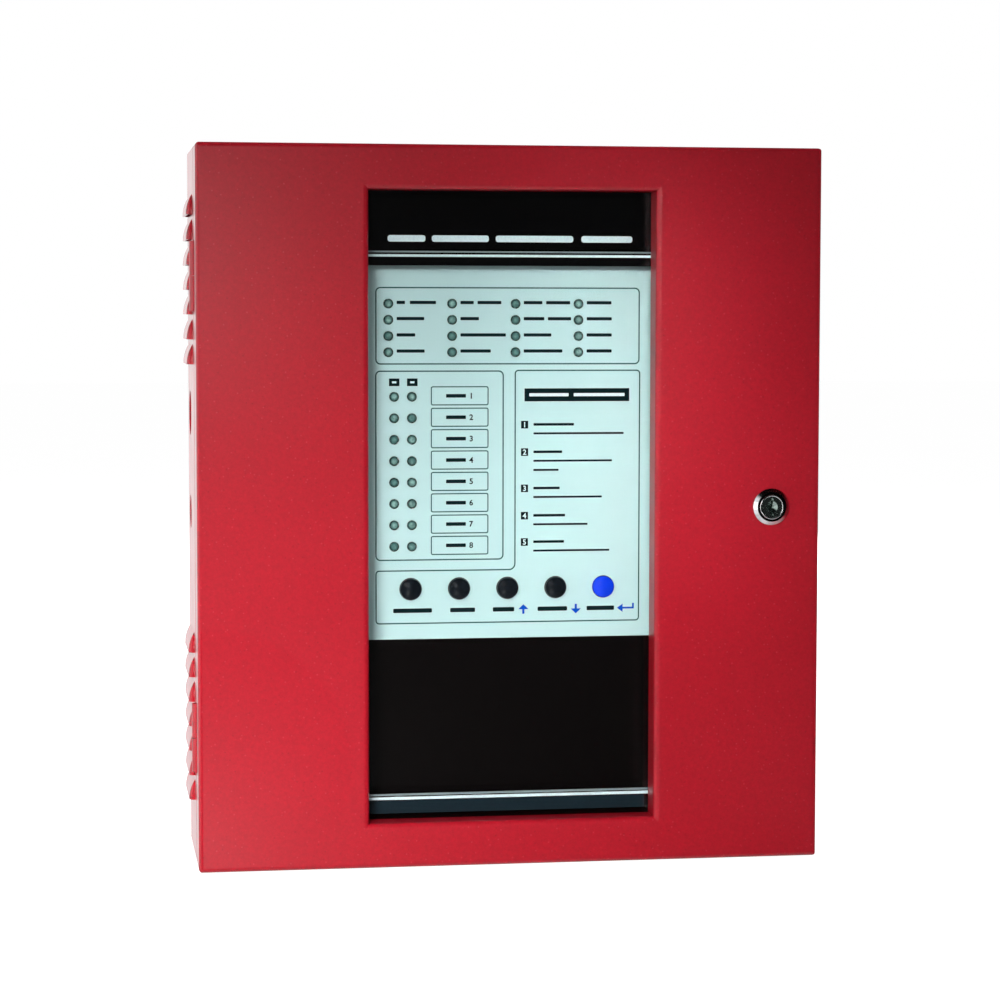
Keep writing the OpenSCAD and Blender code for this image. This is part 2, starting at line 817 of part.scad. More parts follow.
// A crowned round key cap with a rounded edge, and its stem
module key_cap(i) {
    p = key_spots()[i];
    crown_r = 3 * key_r;
    cap_h = cap_back - cap_front;
    edge_x = key_r - key_edge;
    edge_z = cap_h - crown_r + sqrt((crown_r - key_edge) * (crown_r - key_edge) - edge_x * edge_x);
    turned(p[0], cap_back, p[1]) intersection() {
        union() {
            translate([0, cap_back - stem_end]) square([stem_r, stem_end - cap_back + 1]);
            intersection() {
                square([edge_x * crown_r / (crown_r - key_edge), cap_h]);
                translate([0, cap_h - crown_r]) circle(crown_r, $fn = 96);
            }
            square([key_r, edge_z]);
            translate([edge_x, edge_z]) circle(key_edge);
        }
        translate([0, -20]) square([key_r + 1, 40]);
    }
}

module silence_key() { color([0.06, 0.08, 0.09]) key_cap(0); }
module mute_key() { color([0.06, 0.08, 0.09]) key_cap(1); }
module test_key() { color([0.06, 0.08, 0.09]) key_cap(2); }
module reset_key() { color([0.06, 0.08, 0.09]) key_cap(3); }
module mode_key() { color([0.02, 0.2, 0.85]) key_cap(4); }

// ---- Ribbon between the boards ----

// A box header standing l off a board at y, with an open pocket; way = 1 towards the wall
module box_header(y, z, way) {
    y1 = y + way * socket_h;
    pocket = y + way * socket_floor;
    difference() {
        slab([socket_x - socket_l / 2, socket_x + socket_l / 2], [min(y, y1), max(y, y1)],
            [z - socket_w / 2, z + socket_w / 2]);
        slab([socket_x - socket_l / 2 + socket_wall, socket_x + socket_l / 2 - socket_wall],
            [min(pocket, y1 + way), max(pocket, y1 + way)],
            [z - socket_w / 2 + socket_wall, z + socket_w / 2 - socket_wall]);
    }
}

module ribbon_sockets() {
    color([0.12, 0.12, 0.12]) {
        box_header(y_dboard_back, display_socket_z, 1);
        box_header(y_mboard, main_socket_z, -1);
    }
}

module ribbon_cable() {
    y0 = y_dboard_back + socket_h + plug_out;
    y1 = y_mboard - socket_h - plug_out;
    mid = (y0 + y1) / 2;
    route = smooth([[display_socket_z, y0 - 1], [display_socket_z + 1, y0 + 1.5],
        [display_socket_z + 9, mid - 1], [main_socket_z - 9, mid + 1],
        [main_socket_z - 1, y1 - 1.5], [main_socket_z, y1 + 1]], 5);
    m = len(route);
    side = [for (i = [0:m - 1])
        let (t = unit(route[min(i + 1, m - 1)] - route[max(i - 1, 0)]))
        ribbon_t / 2 * [-t[1], t[0]]];
    plug = [socket_l - 2 * socket_wall - 0.4, plug_out + plug_in, socket_w - 2 * socket_wall - 0.4];
    color([0.62, 0.62, 0.65]) union() {
        translate([socket_x + ribbon_w / 2, 0, 0]) rotate([0, -90, 0]) linear_extrude(ribbon_w)
            polygon(concat([for (i = [0:m - 1]) route[i] + side[i]],
                [for (i = [m - 1:-1:0]) route[i] - side[i]]));
        slab([socket_x - plug[0] / 2, socket_x + plug[0] / 2], [y0 - plug[1], y0],
            [display_socket_z - plug[2] / 2, display_socket_z + plug[2] / 2]);
        slab([socket_x - plug[0] / 2, socket_x + plug[0] / 2], [y1, y1 + plug[1]],
            [main_socket_z - plug[2] / 2, main_socket_z + plug[2] / 2]);
    }
}

// ---- Main board ----

function mpost_spots() = [
    for (sx = [-1, 0, 1], sz = [-1, 1]) [sx * mpost_x, mboard_z + sz * mpost_z]];

module main_board() {
    color("darkgreen") difference() {
        slab([-mboard_w / 2, mboard_w / 2], [y_mboard, y_mboard_back],
            [mboard_z - mboard_h / 2, mboard_z + mboard_h / 2]);
        for (p = mpost_spots()) rod_y(p[0], p[1], y_mboard - 1, y_mboard_back + 1, m3_r + screw_clear);
    }
}

module main_board_standoffs() {
    color("silver") for (p = mpost_spots()) hex_post(p[0], p[1], y_mboard_back, y_wall);
}

function term_x(side) = side * (mboard_w / 2 - term_inset - term_w / 2);
function pole_offset(i, n) = (i - (n - 1) / 2) * pole_pitch;

// A row of screw terminals along Z, its wire mouths towards -X, its middle at the origin's height
module terminal_row(n) {
    difference() {
        translate([0, 0, -n * pole_pitch / 2]) linear_extrude(n * pole_pitch)
            polygon([[-term_w / 2, 0], [-term_w / 2, term_step - term_h],
                [term_lead_in - term_w / 2, -term_h], [term_w / 2, -term_h], [term_w / 2, 0]]);
        for (i = [0:n - 1]) {
            rod_y(term_screw_x, pole_offset(i, n), -term_h - 1, 5 - term_h, term_screw_r + air);
            slab([-term_w / 2 - 1, 4 - term_w / 2], [-2 * term_mouth, -term_mouth],
                [pole_offset(i, n) - term_mouth / 2, pole_offset(i, n) + term_mouth / 2]);
        }
    }
}

// The slotted screws of that row
module terminal_row_screws(n) {
    for (i = [0:n - 1]) difference() {
        rod_y(term_screw_x, pole_offset(i, n), 2 - term_h, 5 - term_h, term_screw_r);
        slab([term_screw_x - term_mouth, term_screw_x + term_mouth], [1 - term_h, 3 - term_h],
            [pole_offset(i, n) - 0.3, pole_offset(i, n) + 0.3]);
    }
}

module at_zone_terminals() { translate([term_x(-1), y_mboard, mboard_z]) children(); }
module at_output_terminals() { translate([term_x(1), y_mboard, mboard_z]) mirror([1, 0, 0]) children(); }
module at_power_terminals() { translate([power_x, y_mboard, power_z]) rotate([0, -90, 0]) children(); }

module zone_terminals() { color("seagreen") at_zone_terminals() terminal_row(zone_poles); }
module output_terminals() { color("seagreen") at_output_terminals() terminal_row(output_poles); }
module power_terminals() { color("seagreen") at_power_terminals() terminal_row(power_poles); }

module terminal_screws() {
    color("silver") {
        at_zone_terminals() terminal_row_screws(zone_poles);
        at_output_terminals() terminal_row_screws(output_poles);
        at_power_terminals() terminal_row_screws(power_poles);
    }
}

module relays() {
    color([0.1, 0.1, 0.12]) for (k = [-1.5:1.5])
        translate([relay_x, y_mboard, mboard_z + relay_up + k * relay_dz]) difference() {
            slab([-relay_size[0] / 2, relay_size[0] / 2], [-relay_size[2], 0],
                [-relay_size[1] / 2, relay_size[1] / 2]);
            slab([-relay_size[0], relay_size[0]], [-relay_foot[0], eps],
                [relay_foot[1] - relay_size[1] / 2, relay_size[1] / 2 - relay_foot[1]]);
        }
}

// Two spring clips hold each fuse clear of the board
module fuse_clips() {
    color("silver") for (z = fuse_zs, s = [-1, 1])
        translate([fuse_x, y_mboard, z + s * (fuse_l - fuse_cap) / 2]) difference() {
            slab([-fuse_r - fuse_wall, fuse_r + fuse_wall], [-fuse_lift - fuse_r, 0],
                [-fuse_cap / 2, fuse_cap / 2]);
            translate([0, -fuse_lift, -fuse_cap]) cylinder(h = 2 * fuse_cap, r = fuse_r);
            slab([-fuse_r * 0.8, fuse_r * 0.8], [-fuse_lift - fuse_r - 1, -fuse_lift], [-fuse_cap, fuse_cap]);
        }
}

module fuses() {
    color([0.85, 0.88, 0.86]) for (z = fuse_zs)
        translate([fuse_x, y_mboard - fuse_lift, z - fuse_l / 2]) union() {
            cylinder(h = fuse_l, r = fuse_r - 0.3);
            for (e = [0, fuse_l - fuse_cap]) translate([0, 0, e]) cylinder(h = fuse_cap, r = fuse_r);
        }
}

module capacitors() {
    color([0.1, 0.12, 0.25]) for (c = cap_spots)
        turned(c[0], y_mboard, c[1]) difference() {
            union() {
                square([c[2], c[3] - 0.8]);
                square([c[2] - 0.8, c[3]]);
            }
            translate([c[2] - 0.5, 1.6]) square([1, 1.2]);
        }
}

// A flat package standing on a board at y; way = 1 towards the wall
module chip(x, z, size, y, way) {
    slab([x - size[0] / 2, x + size[0] / 2], [min(y, y + way * size[2]), max(y, y + way * size[2])],
        [z - size[1] / 2, z + size[1] / 2]);
}

module chips() {
    driver_size = [dip_size[1], dip_size[0], dip_size[2]];
    color([0.08, 0.08, 0.09]) {
        chip(cpu_x, mboard_z + cpu_up, cpu_size, y_mboard, -1);
        for (k = [0:3]) chip(dip_x + dip_dx * k, mboard_z + dip_up, dip_size, y_mboard, -1);
        for (k = [0:1]) chip(driver_x + driver_dx * k, dboard_z + driver_up, driver_size, y_dboard_back, 1);
    }
}

module sounder() {
    color([0.07, 0.07, 0.08]) turned(sounder_x, y_mboard, mboard_z + sounder_up) difference() {
        union() {
            square([sounder_r, sounder_h - 1]);
            square([sounder_r - 1, sounder_h]);
        }
        translate([0, 1.5]) square([2, sounder_h]);
    }
}

// ---- Power supply ----

// Laminated core: three limbs joined at both ends, windows open across
module transformer_core() {
    color([0.35, 0.35, 0.37]) translate([trans_x, 0, trans_z]) difference() {
        slab([-core_stack / 2, core_stack / 2], [y_core, y_wall], [-core_h / 2, core_h / 2]);
        for (s = [0, 1]) mirror([0, 0, s])
            slab([-core_stack, core_stack], [y_core + limb_w, y_wall - limb_w],
                [limb_w, core_h / 2 - limb_w]);
    }
}

module transformer_winding() {
    color([0.75, 0.65, 0.25]) translate([trans_x, 0, trans_z]) difference() {
        slab([-core_stack / 2 - winding_out, core_stack / 2 + winding_out],
            [y_core + limb_w + air, y_wall - limb_w - air], [-winding_half, winding_half]);
        slab([-core_stack / 2 - air, core_stack / 2 + air], [y_core, y_wall],
            [-limb_w, limb_w]);
    }
}

// Section of a strap bent over something that stands on the back panel, with a foot at each end
module strap_section(inner, y_top, foot) {
    outer = inner + strap_t;
    y_foot = y_wall - strap_t;
    right = [[outer, y_top - strap_t], [outer, y_foot], [outer + foot, y_foot],
        [outer + foot, y_wall], [inner, y_wall], [inner, y_top]];
    polygon(concat(right, [for (i = [5:-1:0]) [-right[i][0], right[i][1]]]));
}

// A strap bent round the core
module transformer_clamp() {
    color("silver") difference() {
        translate([trans_x + clamp_w / 2, 0, trans_z]) rotate([0, -90, 0]) linear_extrude(clamp_w)
            strap_section(core_h / 2 + air, y_core, clamp_foot);
        for (s = [-1, 1])
            rod_y(trans_x, trans_z + s * clamp_screw_z, y_wall - 3, y_wall + eps, m3_r + screw_clear);
    }
}

// Barrier block for the mains supply
module mains_terminal_block() {
    barrier_t = 1.8;
    color([0.86, 0.85, 0.8]) difference() {
        translate([mains_x, 0, mains_z]) union() {
            slab([-mains_size[0] / 2, mains_size[0] / 2], [y_wall - mains_size[2] * 2 / 3, y_wall],
                [-mains_size[1] / 2, mains_size[1] / 2]);
            for (k = [-1.5:1.5])
                slab([k * mains_pole - barrier_t / 2, k * mains_pole + barrier_t / 2],
                    [y_wall - mains_size[2], y_wall], [-mains_size[1] / 2, mains_size[1] / 2]);
        }
        for (s = [-1, 1])
            rod_y(mains_x + s * (mains_size[0] / 2 - 1.9), mains_z, y_wall - 30, y_wall + eps, 1.2);
    }
}

module batteries() {
    color([0.16, 0.17, 0.19]) for (s = [-1, 1])
        translate([s * (bat_gap + bat_w) / 2, 0, 0]) difference() {
            translate([-bat_w / 2, 0, 0]) rotate([90, 0, 90]) linear_extrude(bat_w)
                polygon([[bat_front, floor_z], [y_wall - bat_edge, floor_z], [y_wall, floor_z + bat_edge],
                    [y_wall, bat_top], [bat_front, bat_top]]);
            for (e = [0, 1]) mirror([e, 0, 0])
                slab([bat_w / 2 - bat_notch[0], bat_w], [bat_front - 1, bat_front + bat_notch[1]],
                    [bat_top - bat_notch[2], bat_top + 1]);
        }
}

function tab_spots() = [
    for (s = [-1, 1], e = [-1, 1])
        [s * (bat_gap + bat_w) / 2 + e * (bat_w / 2 - tab_inset), tab_y]];

module battery_tabs() {
    color("silver") for (p = tab_spots())
        slab([p[0] - tab_w / 2, p[0] + tab_w / 2], [p[1] - tab_t / 2, p[1] + tab_t / 2],
            [bat_top, bat_top + tab_h]);
}

// A flat strap across the front of both batteries
module battery_strap() {
    color("silver") difference() {
        translate([0, 0, strap_z - strap_h / 2]) linear_extrude(strap_h)
            strap_section(bat_end + air, bat_front, strap_foot);
        for (s = [-1, 1])
            rod_y(s * strap_screw_x, strap_z, y_wall - 3, y_wall + eps, m3_r + screw_clear);
    }
}

// Screws that hold the clamp and the strap down on the back panel
module chassis_screws() {
    color("silver") for (s = [-1, 1]) {
        pan_screw(s * strap_screw_x, y_wall - strap_t, strap_z, m3_head_r, m3_head_h, m3_r, strap_t);
        pan_screw(trans_x, y_wall - strap_t, trans_z + s * clamp_screw_z,
            m3_head_r, m3_head_h, m3_r, strap_t);
    }
}

// A push-on receptacle over a battery tab
module receptacle(p) {
    difference() {
        slab([p[0] - recept[0] / 2, p[0] + recept[0] / 2], [p[1] - recept[1] / 2, p[1] + recept[1] / 2],
            [bat_top + recept_lift, recept_top]);
        slab([p[0] - tab_w / 2 - recept_clear, p[0] + tab_w / 2 + recept_clear],
            [p[1] - tab_t / 2 - recept_clear, p[1] + tab_t / 2 + recept_clear],
            [bat_top, bat_top + tab_h + recept_lift]);
    }
}
recept_top = bat_top + recept_lift + recept[2];

// Mouth of a power terminal, where a lead meets the block
function power_mouth(i) =
    [power_x + pole_offset(i, power_poles), y_mboard - 1.5 * term_mouth, power_z - term_w / 2];

module battery_leads() {
    p = tab_spots();
    a = power_mouth(0);
    b = power_mouth(1);
    color([0.7, 0.1, 0.1]) {
        for (q = p) receptacle(q);
        lead([[p[1][0], tab_y, recept_top], [p[1][0], tab_y, recept_top + 4],
            [p[1][0] + 4, tab_y, recept_top + 10], [p[2][0] - 4, tab_y, recept_top + 10],
            [p[2][0], tab_y, recept_top + 4], [p[2][0], tab_y, recept_top]]);
        lead([[p[0][0], tab_y, recept_top], [p[0][0], tab_y, recept_top + 5],
            [p[0][0] + 8, tab_y, recept_top + 14], [a[0] - 12, tab_y + 2, recept_top + 22],
            [a[0] - 2, a[1], a[2] - 16], [a[0], a[1], a[2] - 6], [a[0], a[1], a[2] - 3], a]);
        lead([[p[3][0], tab_y, recept_top], [p[3][0], tab_y, recept_top + 3],
            [p[3][0] - 5, tab_y, recept_top + 8], [p[3][0] - 22, tab_y, recept_top + 9],
            [0, tab_y - 2, recept_top + 26], [b[0] + 14, tab_y, recept_top + 28],
            [b[0] + 2, b[1], b[2] - 14], [b[0], b[1], b[2] - 6], [b[0], b[1], b[2] - 3], b]);
    }
}

module transformer_leads() {
    x0 = trans_x - core_stack / 2 - winding_out;
    x1 = trans_x + core_stack / 2 + winding_out;
    c = power_mouth(2);
    d = power_mouth(3);
    y_lead = y_core + limb_w + winding_out;
    y_mains = y_wall - mains_wire_y;
    mains_top = mains_z + mains_size[1] / 2;
    color([0.85, 0.75, 0.2]) {
        lead([[x0, y_lead, trans_z + 8], [x0 - 3, y_lead, trans_z + 8], [x0 - 6, y_lead, trans_z + 8],
            [x0 - 30, y_lead - 2, trans_z + 18], [10, y_lead - 2, trans_z + 22],
            [c[0] + 2, c[1], c[2] - 12], [c[0], c[1], c[2] - 6], [c[0], c[1], c[2] - 3], c]);
        lead([[x0, y_lead, trans_z + 13], [x0 - 3, y_lead, trans_z + 13], [x0 - 6, y_lead, trans_z + 13],
            [x0 - 28, y_lead - 2, trans_z + 24], [20, y_lead - 2, trans_z + 29],
            [d[0] + 4, d[1], d[2] - 10], [d[0], d[1], d[2] - 5], [d[0], d[1], d[2] - 2.5], d]);
        for (k = [0, 1])
            lead([[x1, y_lead, trans_z - 6 - 5 * k], [x1 + 1, y_lead, trans_z - 6 - 5 * k],
                [x1 + 2, y_lead, trans_z - 6 - 5 * k], [x1 + 8 - 5 * k, y_lead, trans_z - 8 - 5 * k],
                [x1 + 11 - 6 * k, y_lead + 4, trans_z - 20],
                [mains_x + (0.5 - k) * mains_pole, y_mains, mains_top + 9],
                [mains_x + (0.5 - k) * mains_pole, y_mains, mains_top + 5],
                [mains_x + (0.5 - k) * mains_pole, y_mains, mains_top + 2.5],
                [mains_x + (0.5 - k) * mains_pole, y_mains, mains_top]]);
    }
}

// Earthing stud with its washer and nut
module earth_stud() {
    y_washer = y_wall - earth_washer[1];
    color("gold") translate([earth_x, 0, earth_z]) {
        rod_y(0, 0, y_wall - earth_l, y_wall, earth_r);
        difference() {
            union() {
                rod_y(0, 0, y_washer, y_wall, earth_washer[0]);
                upright(y_washer - earth_nut[1], y_washer) hex(earth_nut[0]);
            }
            rod_y(0, 0, y_washer - earth_nut[1] - 1, y_wall + 1, earth_r);
        }
    }
}

// ---- Door ----

function pane_stud_spots() = [
    for (s = [-1, 1], k = [-1, 0, 1]) [s * (win_w / 2 + pane_edge - pane_stud_edge), k * pane_stud_dz]];

module door_pan() {
    color("firebrick") difference() {
        union() {
            difference() {
                translate([0, y_face, 0]) bent_block(cab_w, cab_h, door_d, bend_r);
                translate([0, y_face + sheet_t, 0])
                    bent_block(cab_w - 2 * sheet_t, cab_h - 2 * sheet_t, door_d, bend_r - sheet_t);
            }
            translate([0, y_face + sheet_t - flange_root, 0])
                flared_opening(win_w + 2 * sheet_t, win_h + 2 * sheet_t,
                    win_d - sheet_t + flange_root - 2 * eps, win_bend - sheet_t + flange_root);
            upright(y_lip - sheet_t, y_lip)
                square([win_w + 2 * win_lip, win_h + 2 * win_lip], center = true);
        }
        translate([0, y_face, 0]) flared_opening(win_w, win_h, win_d, win_bend);
        rod_y(lock_x, lock_z, y_face - 1, y_face + sheet_t + 1, barrel_r);
        for (s = [-1, 1])
            slab([-half_w - 1, axis_x + hinge_r + notch_clear], [axis_y - hinge_r - notch_clear, y_rim + 1],
                [s * hinge_z - hinge_len / 2 - notch_clear, s * hinge_z + hinge_len / 2 + notch_clear]);
    }
}

module door_hinge_leaves() {
    color("firebrick") for (s = [-1, 1])
        hinge_half(s * hinge_z + knuckle_gap / 2, s * hinge_z + hinge_len / 2, pin_r + pin_clear, -1);
}

module pane_gasket() {
    color([0.1, 0.1, 0.1]) difference() {
        upright(y_lip, y_pane) difference() {
            square([win_w + 2 * pane_edge, win_h + 2 * pane_edge], center = true);
            square([win_w + 2, win_h + 2], center = true);
        }
        for (p = pane_stud_spots()) rod_y(p[0], p[1], y_lip - 1, y_pane + 1, m3_r + screw_clear);
    }
}

module window_pane() {
    color([0.8, 0.92, 0.9, 0.3]) difference() {
        upright(y_pane, y_pane_back)
            square([win_w + 2 * pane_edge, win_h + 2 * pane_edge], center = true);
        for (p = pane_stud_spots()) rod_y(p[0], p[1], y_pane - 1, y_pane_back + 1, m3_r + screw_clear);
    }
}

module pane_studs() {
    color("silver") for (p = pane_stud_spots()) rod_y(p[0], p[1], y_lip, y_pane_back + stud_out, m3_r);
}

module pane_nuts() {
    color("silver") for (p = pane_stud_spots())
        hex_post(p[0], p[1], y_pane_back, y_pane_back + nut_h);
}

// ---- Lock ----

// Housing: bevelled chrome head with a bead round the plug, and the threaded barrel behind it
module lock_housing() {
    back = y_face - barrel_back;
    bore = plug_r + plug_clear;
    color("gainsboro") turned(lock_x, y_face, lock_z) difference() {
        union() {
            polygon([[0, 0], [lock_head_r, 0], [lock_head_r, flat_h - lock_head_r + lock_face_r],
                [lock_face_r, flat_h], [0, flat_h]]);
            translate([bore + bead_r - 0.05, flat_h]) circle(bead_r);
            translate([0, back]) square([barrel_r - 0.1, -back]);
        }
        translate([0, back - 1]) square([bore, lock_head_h - back + 2]);
    }
}

module lock_nut() {
    color("silver") translate([lock_x, 0, lock_z]) difference() {
        upright(y_face + sheet_t, y_face + sheet_t + lock_nut_h) hex(lock_nut_af);
        rod_y(0, 0, y_face, y_face + 20, barrel_r - 0.1);
    }
}

// Key plug: sunk cone and keyhole in its face, a retaining shoulder and a square tail for the cam
module lock_plug() {
    dish_r = 2.9;
    dish_d = 2.4;
    slot = 3.7;
    color([0.25, 0.3, 0.28]) difference() {
        union() {
            rod_y(lock_x, lock_z, y_face - flat_h, cam_y, plug_r);
            rod_y(lock_x, lock_z, barrel_back + plug_play, cam_y, barrel_r - 1.5);
            slab([lock_x - cam_square / 2, lock_x + cam_square / 2], [cam_y - eps, cam_y + cam_t],
                [lock_z - cam_square / 2, lock_z + cam_square / 2]);
        }
        turned(lock_x, y_face - flat_h, lock_z) polygon([[0, eps], [dish_r, eps], [0, -dish_d]]);
        for (s = [-1, 1]) translate([lock_x, y_face - flat_h - 0.35, lock_z + s * slot]) sphere(0.95);
        slab([lock_x - 0.5, lock_x + 0.5], [y_face - lock_head_h, y_face + 4], [lock_z - slot, lock_z + slot]);
        rod_y(lock_x, lock_z, cam_y - 6, cam_y + cam_t + 1, m3_r);
    }
}

// Cam: a flat tongue that hangs down when the door is free
module lock_cam() {
    color("silver") translate([lock_x, 0, lock_z]) difference() {
        upright(cam_y, cam_y + cam_t) union() {
            circle(cam_w / 2);
            translate([-cam_w / 2, -cam_reach + 2]) square([cam_w, cam_reach - 2]);
            translate([2 - cam_w / 2, -cam_reach]) square([cam_w - 4, cam_reach]);
            for (s = [-1, 1]) translate([s * (cam_w / 2 - 2), 2 - cam_reach]) circle(2);
        }
        slab([-cam_square / 2, cam_square / 2], [cam_y - 1, cam_y + cam_t + 1],
            [-cam_square / 2, cam_square / 2]);
    }
}

module cam_bolt() {
    color("silver") difference() {
        translate([lock_x, 0, lock_z]) upright(cam_y + cam_t, cam_y + cam_t + 2.5) hex(9);
        rod_y(lock_x, lock_z, cam_y, cam_y + cam_t + 3, m3_r);
    }
    color("silver") rod_y(lock_x, lock_z, cam_y - 5, cam_y + cam_t + 2.5, m3_r);
}

back_panel();
left_side_panel();
right_side_panel();
top_panel();
bottom_panel();
front_frame();
cabinet_hinge_leaves();
hinge_pins();
bump_stops();
cable_grommets();
display_plate();
display_plate_screws();
overlay_label();
display_board();
display_board_standoffs();
board_screws();
status_leds();
zone_leds();
key_switches();
ribbon_sockets();
ribbon_cable();
main_board();
main_board_standoffs();
zone_terminals();
output_terminals();
power_terminals();
terminal_screws();
relays();
fuse_clips();
fuses();
capacitors();
chips();
sounder();
transformer_core();
transformer_winding();
transformer_clamp();
mains_terminal_block();
chassis_screws();
batteries();
battery_tabs();
battery_strap();
battery_leads();
transformer_leads();
earth_stud();
door_pan();
door_hinge_leaves();
pane_gasket();
window_pane();
pane_studs();
pane_nuts();
lock_housing();
lock_nut();
lock_plug();
lock_cam();
cam_bolt();
silence_key();
mute_key();
test_key();
reset_key();
mode_key();
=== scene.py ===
"""Looks for a wall-mounted fire alarm control panel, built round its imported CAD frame.

Everything is in metres in the CAD's frame: +X right, +Y into the wall, +Z up, the door faces -Y.
Only the print's sizes and the bumps' heights are in millimetres, and go through MM.
"""

import json
import math

import bmesh
import bpy
from mathutils import Euler, Matrix, Vector


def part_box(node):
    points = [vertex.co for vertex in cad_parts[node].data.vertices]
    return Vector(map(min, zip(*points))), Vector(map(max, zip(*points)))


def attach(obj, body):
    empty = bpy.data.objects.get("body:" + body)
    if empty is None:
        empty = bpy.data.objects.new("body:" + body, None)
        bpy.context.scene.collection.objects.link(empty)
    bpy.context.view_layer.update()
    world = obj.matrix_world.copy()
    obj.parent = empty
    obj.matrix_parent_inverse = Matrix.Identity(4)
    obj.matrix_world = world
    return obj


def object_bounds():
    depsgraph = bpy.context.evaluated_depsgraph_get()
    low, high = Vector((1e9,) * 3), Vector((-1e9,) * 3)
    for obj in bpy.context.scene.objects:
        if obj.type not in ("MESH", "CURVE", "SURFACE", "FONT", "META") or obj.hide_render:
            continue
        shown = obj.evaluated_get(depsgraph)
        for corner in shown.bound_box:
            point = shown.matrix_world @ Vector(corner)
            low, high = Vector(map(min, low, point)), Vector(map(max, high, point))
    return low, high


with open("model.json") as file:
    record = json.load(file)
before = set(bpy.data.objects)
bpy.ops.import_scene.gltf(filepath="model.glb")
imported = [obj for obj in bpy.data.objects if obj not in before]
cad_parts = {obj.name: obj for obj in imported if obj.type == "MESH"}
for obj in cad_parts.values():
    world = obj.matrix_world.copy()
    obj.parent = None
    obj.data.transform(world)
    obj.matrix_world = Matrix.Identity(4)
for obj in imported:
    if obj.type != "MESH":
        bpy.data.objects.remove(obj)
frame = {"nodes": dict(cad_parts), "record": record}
cad_box = [list(corner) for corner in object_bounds()]
scene = bpy.context.scene
MM = 0.001

# The colour sockets of a Mix node, by index because their names repeat for each data type
MIX_A, MIX_B, MIX_RESULT = 6, 7, 2
# One wave of a Wave Texture is this long at scale 1
WAVE_LENGTH = math.pi / 10


# ---- Shader building ----


def add_node(tree, kind, **props):
    node = tree.nodes.new(kind)
    for key, value in props.items():
        setattr(node, key, value)
    return node


class Shader:
    """One node material: short calls that add nodes and hand back their outputs."""

    def __init__(self, name):
        self.mat = bpy.data.materials.new(name)
        self.mat.use_nodes = True
        self.tree = self.mat.node_tree
        self.bsdf = self.tree.nodes["Principled BSDF"]
        self.out = self.tree.nodes["Material Output"]
        self.place = self.add("ShaderNodeTexCoord").outputs["Object"]

    def add(self, kind, **props):
        return add_node(self.tree, kind, **props)

    def put(self, socket, value):
        """Links a socket, or sets a plain value."""
        if isinstance(value, bpy.types.NodeSocket):
            self.tree.links.new(value, socket)
        else:
            socket.default_value = value

    def set(self, **values):
        """Principled inputs by name, with _ for a space."""
        for key, value in values.items():
            self.put(self.bsdf.inputs[key.replace("_", " ")], value)

    def stretched(self, x, y, z):
        """Object coordinates, scaled along each axis."""
        node = self.add("ShaderNodeMapping")
        self.put(node.inputs["Vector"], self.place)
        node.inputs["Scale"].default_value = (x, y, z)
        return node.outputs["Vector"]

    def turned_flat(self):
        """Object coordinates with Z taken to Y, for patterns drawn on upright boards."""
        split = self.axes()
        node = self.add("ShaderNodeCombineXYZ")
        self.put(node.inputs[0], split[0])
        self.put(node.inputs[1], split[2])
        return node.outputs[0]

    def noise(self, scale, detail=2.0, rough=0.5, at=None):
        node = self.add("ShaderNodeTexNoise")
        self.put(node.inputs["Vector"], at or self.place)
        node.inputs["Scale"].default_value = scale
        node.inputs["Detail"].default_value = detail
        node.inputs["Roughness"].default_value = rough
        return node.outputs["Fac"]

    def cells(self, scale, feature="F1", jitter=1.0, at=None):
        node = self.add("ShaderNodeTexVoronoi", feature=feature)
        self.put(node.inputs["Vector"], at or self.place)
        node.inputs["Scale"].default_value = scale
        node.inputs["Randomness"].default_value = jitter
        return node.outputs["Distance"]

    def bands(self, scale, axis="X", distortion=0.0, profile="SIN"):
        node = self.add("ShaderNodeTexWave", bands_direction=axis, wave_profile=profile)
        self.put(node.inputs["Vector"], self.place)
        node.inputs["Scale"].default_value = scale
        node.inputs["Distortion"].default_value = distortion
        return node.outputs["Fac"]

    def axes(self):
        """Object coordinates, one output for each axis."""
        node = self.add("ShaderNodeSeparateXYZ")
        self.put(node.inputs[0], self.place)
        return node.outputs

    def math(self, operation, a, b=0.0):
        node = self.add("ShaderNodeMath", operation=operation)
        self.put(node.inputs[0], a)
        self.put(node.inputs[1], b)
        return node.outputs[0]

    def spread(self, value, low, high, out_low=0.0, out_high=1.0):
        """Maps low..high of a value to out_low..out_high, and clamps."""
        node = self.add("ShaderNodeMapRange")
        self.put(node.inputs["Value"], value)
        node.inputs["From Min"].default_value = low
        node.inputs["From Max"].default_value = high
        node.inputs["To Min"].default_value = out_low
        node.inputs["To Max"].default_value = out_high
        return node.outputs["Result"]

    def blend(self, factor, a, b):
        """Colour a at factor 0, b at factor 1."""
        node = self.add("ShaderNodeMix", data_type="RGBA")
        self.put(node.inputs["Factor"], factor)
        self.put(node.inputs[MIX_A], colour(a))
        self.put(node.inputs[MIX_B], colour(b))
        return node.outputs[MIX_RESULT]

    def bump(self, height, distance_mm, strength=1.0, under=None):
        node = self.add("ShaderNodeBump")
        self.put(node.inputs["Height"], height)
        node.inputs["Distance"].default_value = distance_mm * MM
        node.inputs["Strength"].default_value = strength
        if under is not None:
            self.put(node.inputs["Normal"], under)
        return node.outputs["Normal"]


def colour(c):
    """A plain colour as a node wants it; a socket goes through untouched."""
    return c if isinstance(c, bpy.types.NodeSocket) else (*c[:3], 1.0)


def scaled(c, k):
    """A colour k times as bright."""
    return tuple(min(1.0, v * k) for v in c[:3])


# ---- Materials ----


